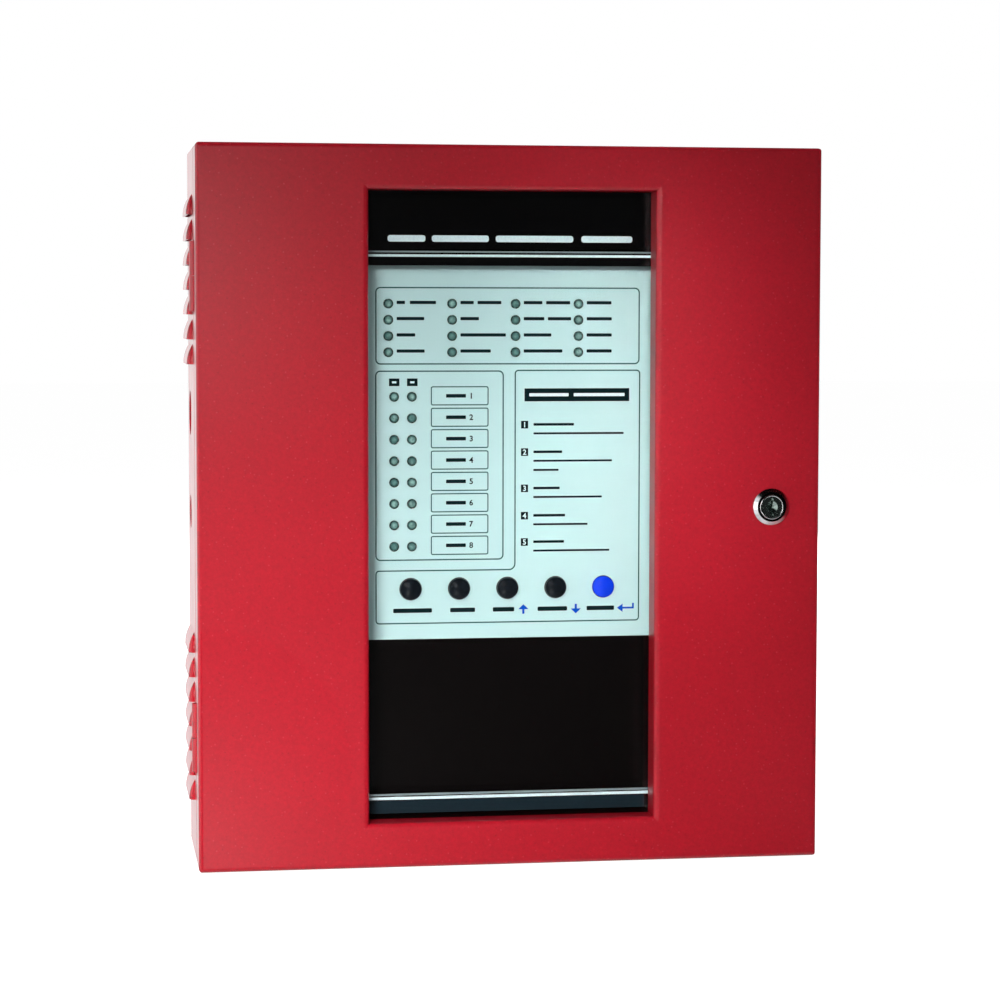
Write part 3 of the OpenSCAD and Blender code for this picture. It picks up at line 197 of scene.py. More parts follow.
def powder_coat(name, base):
    """Fine-textured powder coat: orange peel, small pits and flecks, slightly uneven gloss."""
    s = Shader(name)
    cloud = s.spread(s.noise(9.0, 3.0, 0.6), 0.3, 0.7)
    grain = s.spread(s.noise(560.0, 4.0, 0.75), 0.25, 0.75)
    nibs = s.spread(s.cells(290.0), 0.16, 0.07)
    specks = s.spread(s.cells(230.0), 0.13, 0.06)
    tone = s.blend(cloud, scaled(base, 0.95), scaled(base, 1.05))
    tone = s.blend(s.math("MULTIPLY", grain, 0.5), tone, scaled(base, 0.45))
    tone = s.blend(s.math("MULTIPLY", nibs, 0.2), tone, (0.78, 0.12, 0.16))
    tone = s.blend(s.math("MULTIPLY", specks, 0.4), tone, scaled(base, 0.4))
    peel = s.noise(480.0, 4.0, 0.65)
    pits = s.cells(1300.0, "SMOOTH_F1")
    normal = s.bump(pits, 0.012, 0.4, s.bump(peel, 0.05, 0.8))
    rough = s.spread(s.noise(70.0, 2.0), 0.2, 0.8, 0.29, 0.34)
    s.set(Base_Color=tone, Roughness=rough, Normal=normal)
    s.set(Specular_IOR_Level=0.36, Coat_Weight=0.4, Coat_Roughness=0.22)
    return s.mat


def plain_plastic(name, base, rough=0.45, grain=1800.0, depth=0.02, mottle=0.06, spec=0.5):
    """Moulded or painted skin: fine spark-eroded grain and a little mottling."""
    s = Shader(name)
    cloud = s.spread(s.noise(160.0, 3.0), 0.35, 0.65)
    tone = s.blend(cloud, scaled(base, 1 - mottle), scaled(base, 1 + mottle))
    normal = s.bump(s.noise(grain, 2.0, 0.6), depth, 0.7)
    s.set(Base_Color=tone, Normal=normal, Specular_IOR_Level=spec)
    s.set(Roughness=s.spread(s.noise(700.0, 2.0), 0.3, 0.7, rough - 0.05, rough + 0.05))
    return s.mat


def metal(name, base, rough=0.25, brush=(1.0, 1.0, 1.0), depth=0.01, tint=None):
    """Plated or machined metal with fine scratches along the axis where brush is small."""
    s = Shader(name)
    lines = s.noise(900.0, 3.0, 0.6, at=s.stretched(*brush))
    cloud = s.spread(s.noise(120.0, 3.0), 0.35, 0.7)
    s.set(Base_Color=s.blend(cloud, base, tint or scaled(base, 0.86)), Metallic=1.0)
    s.set(Roughness=s.spread(lines, 0.3, 0.7, rough - 0.06, rough + 0.09))
    s.set(Normal=s.bump(lines, depth, 0.5))
    return s.mat


red_enamel = powder_coat("red_enamel", (0.52, 0.0075, 0.0215))
black_enamel = plain_plastic(
    "black_enamel", (0.0035, 0.0025, 0.0025), 0.22, 1300.0, 0.003, spec=0.2
)
black_rubber = plain_plastic("black_rubber", (0.013, 0.013, 0.014), 0.7, 1100.0, 0.03, spec=0.35)
black_moulding = plain_plastic("black_moulding", (0.012, 0.012, 0.013), 0.42)
key_black = plain_plastic("key_black", (0.006, 0.0085, 0.012), 0.2, 700.0, 0.0006, spec=0.35)
key_blue = plain_plastic("key_blue", (0.002, 0.042, 0.76), 0.2, 700.0, 0.0006, 0.03)
terminal_green = plain_plastic("terminal_green", (0.02, 0.24, 0.1), 0.4)
terminal_cream = plain_plastic("terminal_cream", (0.72, 0.68, 0.57), 0.45)
battery_case = plain_plastic("battery_case", (0.028, 0.03, 0.035), 0.5, 900.0, 0.05)
capacitor_sleeve = plain_plastic("capacitor_sleeve", (0.012, 0.02, 0.07), 0.25, 600.0, 0.01)
lead_red = plain_plastic("lead_red", (0.42, 0.012, 0.012), 0.38, 900.0, 0.01)
lead_yellow = plain_plastic("lead_yellow", (0.66, 0.43, 0.03), 0.38, 900.0, 0.01)

zinc_steel = metal(
    "zinc_steel", (0.60, 0.61, 0.60), 0.3, (1.0, 1.0, 0.25), tint=(0.56, 0.54, 0.44)
)
brass = metal("brass", (0.72, 0.52, 0.2), 0.28)
dull_nickel = metal(
    "dull_nickel", (0.44, 0.54, 0.5), 0.2, (1.0, 0.2, 1.0), 0.006, (0.36, 0.46, 0.42)
)


def overlay_film():
    """Printed polyester film: pale blue-green, faintly grained, with a matt laminate's sheen."""
    s = Shader("overlay_film")
    base = (0.56, 0.8, 0.8)
    tone = s.blend(s.spread(s.noise(14.0, 3.0), 0.3, 0.7), scaled(base, 0.975), scaled(base, 1.02))
    dots = s.spread(s.cells(1900.0, jitter=0.0), 0.25, 0.5)
    tone = s.blend(s.math("MULTIPLY", dots, 0.03), tone, (0.35, 0.6, 0.6))
    s.set(Base_Color=tone, Roughness=s.spread(s.noise(500.0), 0.3, 0.7, 0.42, 0.52))
    s.set(Normal=s.bump(s.noise(1500.0, 2.0), 0.01, 0.5), Specular_IOR_Level=0.35)
    return s.mat


def circuit_board():
    """Solder-masked board: lighter copper traces, tinned pads on a grid, faint weave."""
    s = Shader("circuit_board")
    mask = (0.012, 0.085, 0.035)
    copper = (0.035, 0.2, 0.075)
    pad_pitch = 2.54 * MM
    brick = s.add("ShaderNodeTexBrick", offset=0.37, squash=0.6, squash_frequency=3)
    s.put(brick.inputs["Vector"], s.turned_flat())
    brick.inputs["Scale"].default_value = 60.0
    brick.inputs["Mortar Size"].default_value = 0.018
    brick.inputs["Brick Width"].default_value = 0.9
    brick.inputs["Row Height"].default_value = 0.16
    traces = brick.outputs["Fac"]
    broken = s.spread(s.noise(34.0, 1.0), 0.47, 0.5)
    traces = s.math("MULTIPLY", traces, broken)
    grid = s.cells(1 / pad_pitch, jitter=0.0, at=s.turned_flat())
    pad = s.spread(grid, 0.3, 0.26)
    placed = s.spread(s.noise(55.0, 0.0), 0.585, 0.6)
    pad = s.math("MULTIPLY", pad, placed)
    pour = s.spread(s.noise(22.0, 0.0), 0.52, 0.53)
    tone = s.blend(pour, mask, scaled(copper, 0.62))
    tone = s.blend(traces, tone, copper)
    tone = s.blend(pad, tone, (0.62, 0.6, 0.55))
    s.set(Base_Color=tone, Metallic=s.math("MULTIPLY", pad, 0.9))
    s.set(Roughness=s.spread(s.noise(300.0), 0.3, 0.7, 0.24, 0.34))
    weave = s.bands(1200.0, "X")
    high = s.math("ADD", s.math("MULTIPLY", traces, 0.8), s.math("MULTIPLY", weave, 0.1))
    s.set(Normal=s.bump(s.math("ADD", high, pad), 0.04, 0.8), Coat_Weight=0.25, Coat_Roughness=0.12)
    return s.mat


def led_epoxy():
    """Diffused lamp body: grey-green epoxy, with painted highlight and shade: lighter where it
    faces forward, darker on its flanks.
    """
    s = Shader("led_epoxy")
    facing = s.add("ShaderNodeSeparateXYZ")
    s.put(facing.inputs[0], s.tree.nodes["Texture Coordinate"].outputs["Normal"])
    # Painted highlight and shade: where the body faces forward it takes the lighter top colour, and
    # its flanks take a dark painted shade colour.
    painted_highlight_mask = s.spread(s.math("MULTIPLY", facing.outputs[1], -1.0), 0.55, 0.98)
    lamp = s.spread(s.noise(95.0, 0.0), 0.36, 0.64)
    top = s.blend(lamp, (0.12, 0.3, 0.27), (0.32, 0.58, 0.52))
    tone = s.blend(painted_highlight_mask, (0.02, 0.075, 0.07), top)
    tone = s.blend(s.spread(s.noise(500.0, 2.0), 0.4, 0.75), tone, (0.07, 0.17, 0.155))
    s.set(Base_Color=tone, Roughness=s.spread(s.noise(900.0), 0.3, 0.7, 0.2, 0.3))
    s.set(Coat_Weight=0.5, Coat_Roughness=0.06, Normal=s.bump(s.noise(900.0), 0.01, 0.3))
    return s.mat


def lock_chrome():
    """Polished chrome with turning marks round the lock's axis, and a painted dark reflection: a
    near-black band round its face.
    """
    s = Shader("lock_chrome")
    low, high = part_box("lock_housing")
    mid = (low + high) / 2
    # The painted dark reflection's inner and outer radius and its depth behind the front, each with
    # a soft edge
    ring_inner, ring_outer = (6.1 * MM, 6.3 * MM), (7.4 * MM, 7.2 * MM)
    ring_depth = (0.9 * MM, 0.6 * MM)
    split = s.axes()
    dx = s.math("SUBTRACT", split[0], mid.x)
    dz = s.math("SUBTRACT", split[2], mid.z)
    span = s.math("SQRT", s.math("ADD", s.math("MULTIPLY", dx, dx), s.math("MULTIPLY", dz, dz)))
    turning = s.add("ShaderNodeTexNoise", noise_dimensions="1D")
    s.put(turning.inputs["W"], span)
    turning.inputs["Scale"].default_value = 9000.0
    inside = s.math("MULTIPLY", s.spread(span, *ring_inner), s.spread(span, *ring_outer))
    front = s.spread(split[1], *(low.y + depth for depth in ring_depth))
    painted_dark_reflection = s.math("MULTIPLY", inside, front)
    tone = s.blend(s.spread(s.noise(400.0, 2.0), 0.4, 0.7), (0.80, 0.81, 0.83), (0.66, 0.67, 0.69))
    # Painted reflection: the band is painted near-black, standing in for the dark surroundings that
    # the face mirrors.
    s.set(Base_Color=s.blend(painted_dark_reflection, tone, (0.03, 0.03, 0.03)), Metallic=1.0)
    s.set(Roughness=s.spread(turning.outputs["Fac"], 0.3, 0.7, 0.1, 0.2))
    s.set(Normal=s.bump(turning.outputs["Fac"], 0.006, 0.5))
    return s.mat


def clear_acrylic():
    """Clear sheet: see-through, with Fresnel gloss and very faint wipe marks.

    Only the face that meets the ray is glossy. On a ray that leaves the sheet, Fresnel alone
    would turn steep views to a mirror.
    """
    s = Shader("clear_acrylic")
    clear = s.add("ShaderNodeBsdfTransparent")
    clear.inputs["Color"].default_value = (0.996, 1.0, 0.999, 1.0)
    gloss = s.add("ShaderNodeBsdfGlossy")
    wipes = s.noise(60.0, 3.0, 0.7, at=s.stretched(0.4, 1.0, 2.0))
    s.put(gloss.inputs["Roughness"], s.spread(wipes, 0.4, 0.75, 0.02, 0.09))
    fresnel = s.add("ShaderNodeFresnel")
    fresnel.inputs["IOR"].default_value = 1.4
    mixed = s.add("ShaderNodeMixShader")
    outer = s.math("SUBTRACT", 1.0, s.add("ShaderNodeNewGeometry").outputs["Backfacing"])
    s.put(mixed.inputs[0], s.math("MULTIPLY", fresnel.outputs[0], outer))
    s.put(mixed.inputs[1], clear.outputs[0])
    s.put(mixed.inputs[2], gloss.outputs[0])
    s.put(s.out.inputs["Surface"], mixed.outputs[0])
    s.tree.nodes.remove(s.bsdf)
    return s.mat


def fuse_glass():
    """Glass tube between plated caps, on two upright fuses: one low, one high."""
    s = Shader("fuse_glass")
    low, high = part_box("fuses")
    length = 20 * MM
    cap_start = 0.251  # from the middle, as a share of the length
    along = s.axes()[2]
    second = s.math("GREATER_THAN", along, (low.z + high.z) / 2)
    start = s.math("ADD", low.z, s.math("MULTIPLY", second, high.z - low.z - length))
    part = s.math("DIVIDE", s.math("SUBTRACT", along, start), length)
    cap = s.math("GREATER_THAN", s.math("ABSOLUTE", s.math("SUBTRACT", part, 0.5)), cap_start)
    tone = s.blend(cap, (0.62, 0.68, 0.66), (0.75, 0.75, 0.72))
    s.set(Base_Color=tone, Metallic=cap, Roughness=s.spread(s.noise(800.0), 0.3, 0.7, 0.08, 0.2))
    s.set(Normal=s.bump(s.noise(1200.0), 0.005, 0.3))
    return s.mat


def laminations():
    """Varnished stack of thin sheets, seen as fine lines across the core."""
    s = Shader("core_steel")
    lines = s.bands(620.0, "X", 0.4)
    tone = s.blend(lines, (0.09, 0.088, 0.085), (0.2, 0.195, 0.185))
    tone = s.blend(s.spread(s.noise(90.0, 3.0), 0.5, 0.75), tone, (0.14, 0.085, 0.05))
    s.set(Base_Color=tone, Metallic=0.75, Roughness=s.spread(s.noise(300.0), 0.3, 0.7, 0.38, 0.52))
    s.set(Normal=s.bump(lines, 0.12, 0.7))
    return s.mat


def taped_winding():
    """Layered polyester tape over the coil, with painted shade at the foot of each lap's step."""
    s = Shader("winding_tape")
    laps = s.bands(110.0, "Z", 1.2, profile="SAW")
    # Painted shade: each lap is painted darker where it sinks under the step of the next, on the
    # same wave as the laps' bump.
    tone = s.blend(laps, (0.55, 0.36, 0.035), (0.68, 0.48, 0.07))
    tone = s.blend(s.spread(s.noise(70.0, 2.0), 0.55, 0.75), tone, (0.45, 0.26, 0.04))
    s.set(Base_Color=tone, Roughness=s.spread(s.noise(200.0), 0.3, 0.7, 0.2, 0.36))
    s.set(Normal=s.bump(laps, 0.15, 0.6))
    return s.mat


def ribbon():
    """Flat cable: ridged wires with one marked edge, and painted shade in the grooves between the
    wires.
    """
    s = Shader("ribbon_grey")
    low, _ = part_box("ribbon_cable")
    wire_pitch = 1.0 * MM
    wires = s.bands(WAVE_LENGTH / wire_pitch, "X")
    across = s.axes()[0]
    marked = s.spread(across, low.x + 4.2 * MM, low.x + 4.0 * MM)
    # Painted shade: the grooves between the wires are painted darker than their crests, on the same
    # wave as the ridges' bump.
    tone = s.blend(wires, (0.27, 0.27, 0.29), (0.42, 0.42, 0.44))
    s.set(Base_Color=s.blend(marked, tone, (0.45, 0.02, 0.02)))
    s.set(Roughness=s.spread(s.noise(500.0), 0.3, 0.7, 0.36, 0.46), Normal=s.bump(wires, 0.3, 0.8))
    return s.mat


FINISH = {
    "red_enamel": red_enamel,
    "black_enamel": black_enamel,
    "zinc_steel": zinc_steel,
    "lock_chrome": lock_chrome(),
    "lock_plug_metal": dull_nickel,
    "black_rubber": black_rubber,
    "clear_acrylic": clear_acrylic(),
    "overlay_film": overlay_film(),
    "circuit_board": circuit_board(),
    "led_epoxy": led_epoxy(),
    "black_moulding": black_moulding,
    "key_black": key_black,
    "key_blue": key_blue,
    "ribbon_grey": ribbon(),
    "terminal_green": terminal_green,
    "terminal_cream": terminal_cream,
    "fuse_glass": fuse_glass(),
    "capacitor_sleeve": capacitor_sleeve,
    "core_steel": laminations(),
    "winding_tape": taped_winding(),
    "battery_case": battery_case,
    "lead_red": lead_red,
    "lead_yellow": lead_yellow,
    "brass": brass,
}
for part in frame["record"]["subparts"]:
    for material_slot in frame["nodes"][part["node"]].material_slots:
        material_slot.material = FINISH[part["material_slot"]]


# ---- Printing: thin shapes in the XZ plane, facing -Y, in millimetres ----

INK_THICKNESS = 0.02
ARC_STEPS = 5
GLYPH_RESOLUTION = 6


class Print:
    """Gathers flat shapes of one ink, then makes them one thin piece."""

    def __init__(self):
        self.points = []
        self.faces = []

    def area(self, outline):
        """A filled outline, anticlockwise as seen from the front."""
        first = len(self.points)
        self.points += outline
        self.faces.append(list(range(first, first + len(outline))))

    def bar(self, x0, x1, z0, z1, radius=0.0):
        """A filled rectangle."""
        self.area(rounded(x0, x1, z0, z1, radius))

    def stroke(self, line, width):
        """A closed line of even width through the points of line."""
        count = len(line)
        first = len(self.points)
        for i, (x, z) in enumerate(line):
            before, after = line[i - 1], line[(i + 1) % count]
            a = Vector((x - before[0], z - before[1])).normalized()
            b = Vector((after[0] - x, after[1] - z)).normalized()
            across = Vector((-(a.y + b.y), a.x + b.x)).normalized()
            reach = width / 2 / across.dot(Vector((-a.y, a.x)))
            for side in (reach, -reach):
                self.points.append((x + across.x * side, z + across.y * side))
        for i in range(count):
            a, b = first + 2 * i, first + 2 * ((i + 1) % count)
            self.faces.append([a, a + 1, b + 1, b])

    def glyph(self, text, x, z, height, bold):
        """A numeral centred on x, z, thickened by bold (a share of the font's size)."""
        data = bpy.data.curves.new("glyph", "FONT")
        data.body = text
        data.fill_mode = "FRONT"
        data.resolution_u = GLYPH_RESOLUTION
        data.offset = bold
        thing = bpy.data.objects.new("glyph", data)
        scene.collection.objects.link(thing)
        bpy.context.view_layer.update()
        mesh = thing.evaluated_get(bpy.context.evaluated_depsgraph_get()).to_mesh()
        corners = [v.co.copy() for v in mesh.vertices]
        left, right = min(c.x for c in corners), max(c.x for c in corners)
        low, high = min(c.y for c in corners), max(c.y for c in corners)
        mid_x, mid_z = (left + right) / 2, (low + high) / 2
        k = height / (high - low)
        first = len(self.points)
        self.points += [(x + (c.x - mid_x) * k, z + (c.y - mid_z) * k) for c in corners]
        self.faces += [[first + i for i in p.vertices] for p in mesh.polygons]
        bpy.data.objects.remove(thing)

    def make(self, name, y, material, body):
        """The gathered shapes as a thin piece whose back lies at y."""
        bm = bmesh.new()
        front_y = y - INK_THICKNESS
        front = [bm.verts.new((x * MM, front_y * MM, z * MM)) for x, z in self.points]
        back = [bm.verts.new((x * MM, y * MM, z * MM)) for x, z in self.points]
        # A dict keeps the order, so that the mesh is the same on each run
        edges = dict.fromkeys(
            edge for face in self.faces for edge in zip(face, face[1:] + face[:1])
        )
        for face in self.faces:
            bm.faces.new([front[i] for i in face])
            bm.faces.new([back[i] for i in reversed(face)])
        for a, b in edges:
            if (b, a) not in edges:
                bm.faces.new([front[b], front[a], back[a], back[b]])
        bmesh.ops.recalc_face_normals(bm, faces=bm.faces)
        mesh = bpy.data.meshes.new(name)
        bm.to_mesh(mesh)
        bm.free()
        mesh.materials.append(material)
        piece = bpy.data.objects.new(name, mesh)
        scene.collection.objects.link(piece)
        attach(piece, body)


def arc(x, z, radius, start, end):
    """Points round x, z between two angles in degrees, anticlockwise from +X where end > start."""
    angles = (math.radians(start + (end - start) * i / ARC_STEPS) for i in range(ARC_STEPS + 1))
    return [(x + radius * math.cos(a), z + radius * math.sin(a)) for a in angles]


def rounded(x0, x1, z0, z1, radius):
    """The outline of a rectangle with rounded corners, or sharp ones at radius 0."""
    if radius <= 0:
        return [(x0, z0), (x1, z0), (x1, z1), (x0, z1)]
    left, right, low, high = x0 + radius, x1 - radius, z0 + radius, z1 - radius
    return (
        arc(right, low, radius, -90, 0)
        + arc(right, high, radius, 0, 90)
        + arc(left, high, radius, 90, 180)
        + arc(left, low, radius, 180, 270)
    )


def ink(name, base, rough=0.4, spec=0.4):
    """Screen-printed ink: flat tone with faint pinholes and grain."""
    s = Shader(name)
    tone = s.blend(s.spread(s.noise(900.0, 2.0), 0.35, 0.7), base, scaled(base, 1.12))
    s.set(Base_Color=tone, Roughness=s.spread(s.noise(600.0), 0.3, 0.7, rough - 0.05, rough + 0.05))
    s.set(Normal=s.bump(s.noise(1400.0), 0.003, 0.4), Specular_IOR_Level=spec)
    return s.mat


dark_ink = ink("ink_dark_teal", (0.004, 0.014, 0.016), 0.2, 0.2)
line_ink = ink("ink_line_teal", (0.018, 0.1, 0.095), 0.25, 0.2)
black_ink = ink("ink_black", (0.002, 0.002, 0.0022), 0.15, 0.2)
blue_ink = ink("ink_blue", (0.004, 0.075, 0.52), 0.25, 0.2)
white_ink = ink("ink_white", (0.7, 0.88, 0.92))
grey_ink = ink("ink_grey", (0.2, 0.26, 0.28))
slate_ink = ink("ink_slate", (0.011, 0.022, 0.029), 0.15, 0.2)

overlay_low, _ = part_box("overlay_label")
overlay_y = overlay_low.y / MM
_, pane_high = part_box("window_pane")
pane_back = pane_high.y / MM

# The overlay's print, laid out from the middle of the window: the columns and rows of the
# status lamps, and the rows of the zone boxes under them
STATUS_X = (-59.35, -27.4, 4.55, 36.5)
STATUS_Z = (100.8, 92.8, 84.7, 76.7)
ZONE_TOP = 54.4
ZONE_PITCH = 10.68
ZONES = 8
zone_rows = [ZONE_TOP - i * ZONE_PITCH for i in range(ZONES)]

BLOCK_LINE = 0.64
ZONE_LINE = 0.54
BLOCK_RADIUS = 2.2


def l_frame():
    """The instruction box and the key box, joined as one L with rounded corners."""
    left, right, bend = -65.2, 68.3, 4.9
    top, shelf, bottom = 67.0, -32.9, -59.3
    r, inner = 1.6, 3.0
    return (
        arc(left + r, bottom + r, r, 180, 270)
        + arc(right - r, bottom + r, r, 270, 360)
        + arc(right - r, top - r, r, 0, 90)
        + arc(bend + r, top - r, r, 90, 180)
        + arc(bend - inner, shelf + inner, inner, 0, -90)
        + arc(left + r, shelf - r, r, 90, 180)
    )


lines = Print()
lines.stroke(rounded(-65.1, 67.9, 70.3, 108.1, BLOCK_RADIUS), BLOCK_LINE)
lines.stroke(rounded(-65.2, -1.2, -27.5, 66.7, BLOCK_RADIUS), BLOCK_LINE)
lines.stroke(l_frame(), BLOCK_LINE)
for z in zone_rows:
    lines.stroke(rounded(-37.4, -8.85, z - 4.5, z + 4.5, 0.8), ZONE_LINE)
lines.make("overlay_print_lines", overlay_y, line_ink, "cabinet")

dark = Print()
blank = Print()
# Bars for the status names: where each begins and ends, from NAME_GAP right of its lamp
NAME_GAP = 4.6
STATUS_BARS = (
    (((0.0, 4.2), (6.6, 19.7)), ((0.0, 13.8),), ((0.0, 9.3),), ((0.0, 14.0),)),
    (((0.0, 6.7), (8.6, 20.6)), ((0.0, 9.3),), ((0.0, 22.9),), ((0.0, 15.3),)),
    (((0.0, 9.4), (11.3, 23.5)), ((0.0, 10.4), (12.2, 24.0)), ((0.0, 14.0),), ((0.0, 19.6),)),
    (((0.0, 12.6),), ((0.0, 12.8),), ((0.0, 12.8),), ((0.0, 12.8),)),
)
for x, column in zip(STATUS_X, STATUS_BARS):
    for z, bars in zip(STATUS_Z, column):
        for start, end in bars:
            dark.bar(x + NAME_GAP + start, x + NAME_GAP + end, z - 0.8, z + 0.8, 0.35)
# A bar and a number in each zone box
for number, z in enumerate(zone_rows, 1):
    dark.bar(-30.0, -20.0, z - 0.9, z + 0.9, 0.35)
    dark.glyph(str(number), -17.3, z, 2.9, 0.025)
# The heads of the two lamp columns
for x0, x1 in ((-58.6, -53.4), (-49.6, -44.3)):
    middle = (x0 + x1) / 2
    dark.bar(x0, x1, 59.3, 63.1)
    blank.bar(middle - 1.1, middle + 1.1, 60.7, 61.7, 0.2)
# The instructions: a dark heading, then a numbered square, a name bar and text bars for each
dark.bar(9.6, 63.0, 51.5, 58.0)
for x0, x1 in ((12.0, 32.0), (34.6, 60.6)):
    blank.bar(x0, x1, 54.0, 55.6, 0.4)
TEXT_LEFT = 14.2
TEXT_PITCH = 4.6
STEPS = (
    # height of the row, length of its name bar, lengths of its text bars
    (39.85, 20.6, (46.0,)),
    (26.1, 14.6, (40.1, 12.8)),
    (7.9, 13.4, (35.0,)),
    (-5.85, 16.2, (27.7,)),
    (-19.1, 15.7, (38.9,)),
)
for number, (z, name_length, text_lengths) in enumerate(STEPS, 1):
    dark.bar(7.9, 11.5, z - 1.9, z + 1.9)
    blank.glyph(str(number), 9.7, z, 2.7, 0.02)
    dark.bar(TEXT_LEFT, TEXT_LEFT + name_length, z - 0.55, z + 0.75, 0.3)
    for k, length in enumerate(text_lengths):
        row = z - 4.45 - TEXT_PITCH * k
        dark.bar(TEXT_LEFT, TEXT_LEFT + length, row - 0.45, row + 0.55, 0.25)
# Bars for the key names
for x0, x1 in ((-56.6, -37.1), (-27.9, -15.3), (-6.3, 4.6), (16.5, 31.6), (41.6, 55.7)):
    dark.bar(x0, x1, -54.0, -51.8, 0.5)
dark.make("overlay_print_dark", overlay_y, dark_ink, "cabinet")
blank.make(
    "overlay_print_reversed", overlay_y - INK_THICKNESS, white_ink, "cabinet"
)

# An arrow up, an arrow down and a return arrow, beside three of the keys
arrows = Print()
ARROW_Z = -53.0
STEM = 0.45
for x, way in ((9.25, 1), (36.05, -1)):
    foot, tip = ARROW_Z - 2.3 * way, ARROW_Z + 2.5 * way
    stem = [(x - 0.55, foot), (x + 0.55, foot), (x + 0.55, ARROW_Z), (x - 0.55, ARROW_Z)]
    arrows.area(stem[::way])
    arrows.area([(x - 2.6, ARROW_Z), (x + 2.6, ARROW_Z), (x, tip)][::way])
arrows.area([(57.2, ARROW_Z), (60.1, ARROW_Z - 2.1), (60.1, ARROW_Z + 2.1)])
arrows.bar(60.1, 65.9, ARROW_Z - STEM, ARROW_Z + STEM)
arrows.bar(65.0, 65.9, ARROW_Z + STEM, -50.6)
arrows.make("overlay_print_arrows", overlay_y, blue_ink, "cabinet")

# Printing on the back of the pane: black header, twin rules, and the rules and strip at its foot.
# It ends a little short of the pane's edge, behind the door's lip.
pane_top = pane_high.z / MM - 3
pane_right = pane_high.x / MM - 5
pane_left = -pane_right
header = Print()
header.bar(pane_left, pane_right, 118.9, pane_top)
header.make(
    "pane_print_header", pane_back + 2 * INK_THICKNESS, black_ink, "door"
)
rules = Print()
rules.bar(pane_left, pane_right, 123.2, 124.4)
rules.bar(pane_left, pane_right, -146.6, -145.1)
# Bars for the heading
for x0, x1 in ((-60.2, -41.5), (-38.3, -9.9), (-6.4, 32.5), (36.6, 62.4)):
    rules.bar(x0, x1, 130.6, 133.8, 1.2)
rules.make("pane_print_rules", pane_back, white_ink, "door")
fine = Print()
fine.bar(pane_left, pane_right, 125.3, 126.1)
fine.bar(pane_left, pane_right, -144.6, -143.5)
fine.make("pane_print_fine_rules", pane_back, grey_ink, "door")
foot_strip = Print()
foot_strip.bar(pane_left, 69.9, -153.4, -146.9)
foot_strip.make(
    "pane_print_strip", pane_back + 2 * INK_THICKNESS, slate_ink, "door"
)


# ---- Light, studio and camera ----


def soft_light(name, place, aim, size, power, spread=180.0):
    """An area lamp turned to its aim: metres, watts, and the spread of its beam in degrees."""
    data = bpy.data.lights.new(name, "AREA")
    data.shape = "RECTANGLE"
    data.size, data.size_y = size
    data.energy = power
    data.spread = math.radians(spread)
    lamp = bpy.data.objects.new(name, data)
    scene.collection.objects.link(lamp)
    lamp.location = place
    lamp.rotation_euler = (Vector(aim) - Vector(place)).to_track_quat("-Z", "Y").to_euler()
    return lamp


# The main light, from the upper left and aimed low, with a narrow fill on the window's right
for lamp in (
    soft_light("key_low", (-0.55, -1.4, 0.36), (-0.145, -0.09, -0.115), (0.5, 0.3), 0.81, 27.4),
    soft_light("window_fill", (-0.1, -1.5, 0.35), (0.065, -0.066, 0.05), (0.12, 0.2), 0.036, 6.0),
):
    lamp.visible_glossy = False
soft_light("fill_upper", (-0.5, -1.4, 0.4), (-0.05, 0, 0.0), (0.4, 0.3), 1.2)
# Two lamps beside and under the camera that only the satin of the paint picks up
for lamp in (
    soft_light("sheen_upper", (-0.15, -1.42, 0.13), (-0.1, -0.09, 0.1), (0.16, 0.2), 0.36),
    soft_light("sheen_lower", (-0.15, -1.42, -0.5), (-0.1, -0.09, -0.17), (0.16, 0.25), 0.66),
):
    lamp.visible_diffuse = False
# The sides, the top and the back, which the main view hardly shows
soft_light("side_left", (-1.5, -0.15, 0.05), (0, -0.04, 0), (0.9, 0.9), 2.4)
for lamp in (
    soft_light("side_right", (1.7, 0.3, 0.4), (0, -0.04, 0), (1.0, 1.0), 7.0),
    soft_light("top_soft", (0.1, 0.25, 1.6), (0, 0, 0.1), (1.0, 0.8), 5.0),
    soft_light("back_soft", (0.7, 1.7, 0.5), (0, 0, 0), (1.2, 1.2), 24.0),
):
    lamp.visible_glossy = False


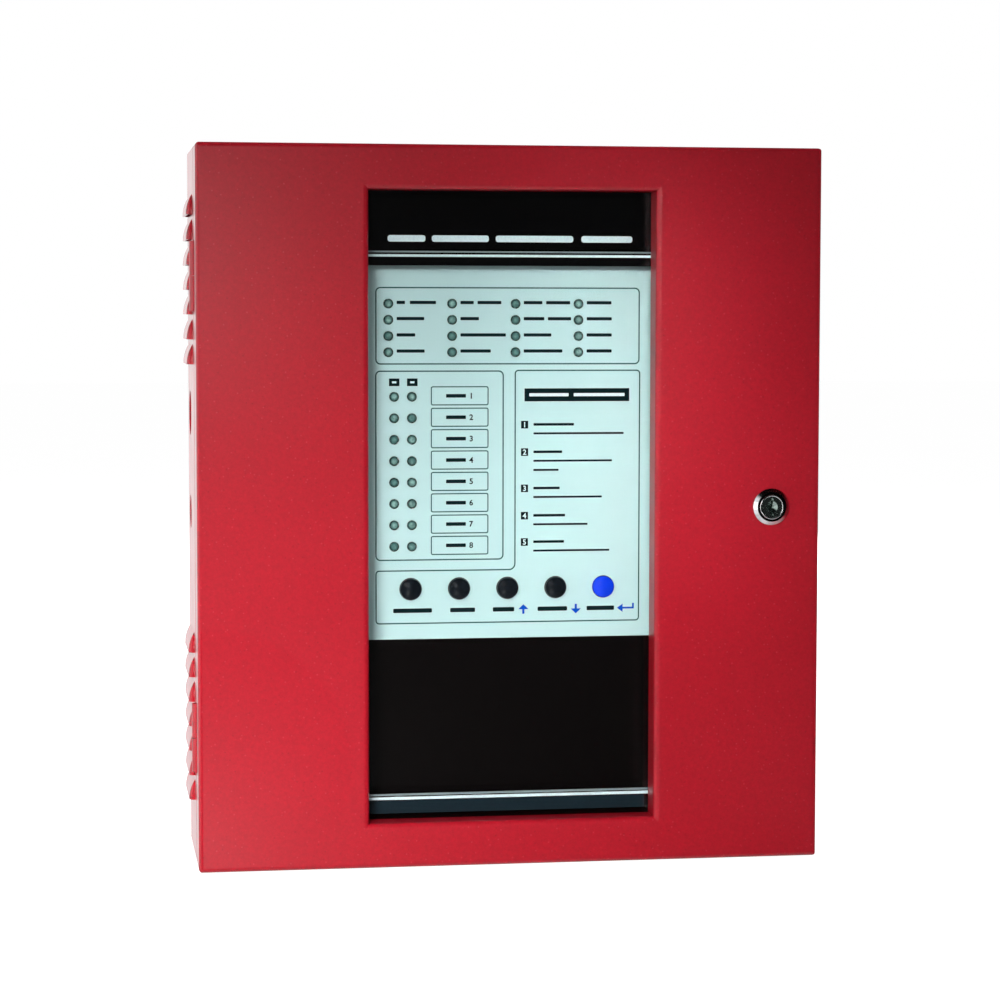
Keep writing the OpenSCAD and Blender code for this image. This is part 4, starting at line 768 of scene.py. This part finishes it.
def studio_world():
    """A world that is white to the eye and through the pane, and that gloss sees shaped.

    To gloss it is bright behind the object, dim in front of it, and lighter at the far left and
    below. Behind, it darkens to the right and upwards, which keeps the bends there dark.
    """
    world = bpy.data.worlds.new("studio")
    scene.world = world
    world.use_nodes = True
    world.cycles.sampling_method = "NONE"
    tree = world.node_tree
    tree.nodes.clear()

    def math_node(operation, *values):
        node = add_node(tree, "ShaderNodeMath", operation=operation)
        for socket, value in zip(node.inputs, values):
            if isinstance(value, bpy.types.NodeSocket):
                tree.links.new(value, socket)
            else:
                socket.default_value = value
        return node.outputs[0]

    def ramp(value, start, end, low, high):
        node = add_node(tree, "ShaderNodeMapRange", interpolation_type="SMOOTHSTEP")
        tree.links.new(value, node.inputs["Value"])
        node.inputs["From Min"].default_value = start
        node.inputs["From Max"].default_value = end
        node.inputs["To Min"].default_value = low
        node.inputs["To Max"].default_value = high
        return node.outputs[0]

    def background(strength):
        node = add_node(tree, "ShaderNodeBackground")
        node.inputs["Color"].default_value = (1.0, 1.0, 1.0, 1.0)
        if isinstance(strength, bpy.types.NodeSocket):
            tree.links.new(strength, node.inputs["Strength"])
        else:
            node.inputs["Strength"].default_value = strength
        return node.outputs[0]

    def mix(factor, a, b):
        node = add_node(tree, "ShaderNodeMixShader")
        for value, socket in zip((factor, a, b), node.inputs):
            tree.links.new(value, socket)
        return node.outputs[0]

    path = add_node(tree, "ShaderNodeLightPath")
    way = add_node(tree, "ShaderNodeSeparateXYZ")
    direction = add_node(tree, "ShaderNodeTexCoord").outputs["Generated"]
    tree.links.new(direction, way.inputs[0])
    x, y, z = way.outputs

    behind = math_node("POWER", math_node("MAXIMUM", y, 0.35), 4.0)
    for axis, start, end in ((x, 0.2, 0.5), (z, 0.08, 0.35)):
        behind = math_node("MULTIPLY", behind, ramp(axis, start, end, 1.0, 0.06))
    left = ramp(x, -0.6, -0.85, 0.0, 0.95)
    below = ramp(z, -0.45, -0.75, 0.0, 0.7)
    around = math_node("MULTIPLY_ADD", behind, 1.55, math_node("MAXIMUM", left, below))

    unseen = mix(path.outputs["Is Glossy Ray"], background(0.25), background(around))
    straight = [path.outputs[name] for name in ("Is Camera Ray", "Is Transmission Ray")]
    final = mix(math_node("MAXIMUM", *straight), unseen, background(1.0))
    tree.links.new(final, add_node(tree, "ShaderNodeOutputWorld").inputs[0])


def pale_floor():
    """A paper floor under the object. It looks white and keeps the object's shadow.

    Gloss looks past it into the world, and it cuts off no lamp that stands below it.
    """
    gap = 0.4 * MM
    half_side = 9.0
    bm = bmesh.new()
    bmesh.ops.create_grid(bm, x_segments=2, y_segments=2, size=half_side)
    mesh = bpy.data.meshes.new("floor")
    bm.to_mesh(mesh)
    bm.free()
    floor = bpy.data.objects.new("floor", mesh)
    floor.location.z = cad_box[0][2] - gap
    scene.collection.objects.link(floor)
    s = Shader("floor_paper")
    s.set(Base_Color=s.blend(s.noise(3.0, 2.0), (0.6, 0.6, 0.6), (0.62, 0.62, 0.62)))
    s.set(Roughness=0.95, Specular_IOR_Level=0.0)
    ray = s.add("ShaderNodeLightPath")
    glow = s.add("ShaderNodeEmission")
    open_ray = s.math("MAXIMUM", ray.outputs["Is Camera Ray"], ray.outputs["Is Transmission Ray"])
    s.put(glow.inputs["Strength"], s.math("MULTIPLY", open_ray, 0.84))
    both = s.add("ShaderNodeAddShader")
    s.put(both.inputs[0], s.bsdf.outputs[0])
    s.put(both.inputs[1], glow.outputs[0])
    s.put(s.out.inputs["Surface"], both.outputs[0])
    mesh.materials.append(s.mat)
    floor.visible_glossy = False
    floor.visible_shadow = False


studio_world()
pale_floor()

# At the photograph's viewing angle: a little left of and above the middle, looking down and right
PITCH, YAW, ROLL = -3.922, -8.854, 0.095
camera_data = bpy.data.cameras.new("camera")
camera_data.sensor_width = 36.0
camera_data.lens = 99.86
camera = bpy.data.objects.new("camera", camera_data)
scene.collection.objects.link(camera)
camera.location = (-0.2161, -1.4342, 0.0972)
tilt = Euler((math.radians(90 + PITCH), 0, math.radians(YAW)), "XYZ").to_matrix()
camera.rotation_euler = (tilt @ Matrix.Rotation(math.radians(ROLL), 3, "Z")).to_euler()
scene.camera = camera
scene.view_settings.view_transform = "Standard"
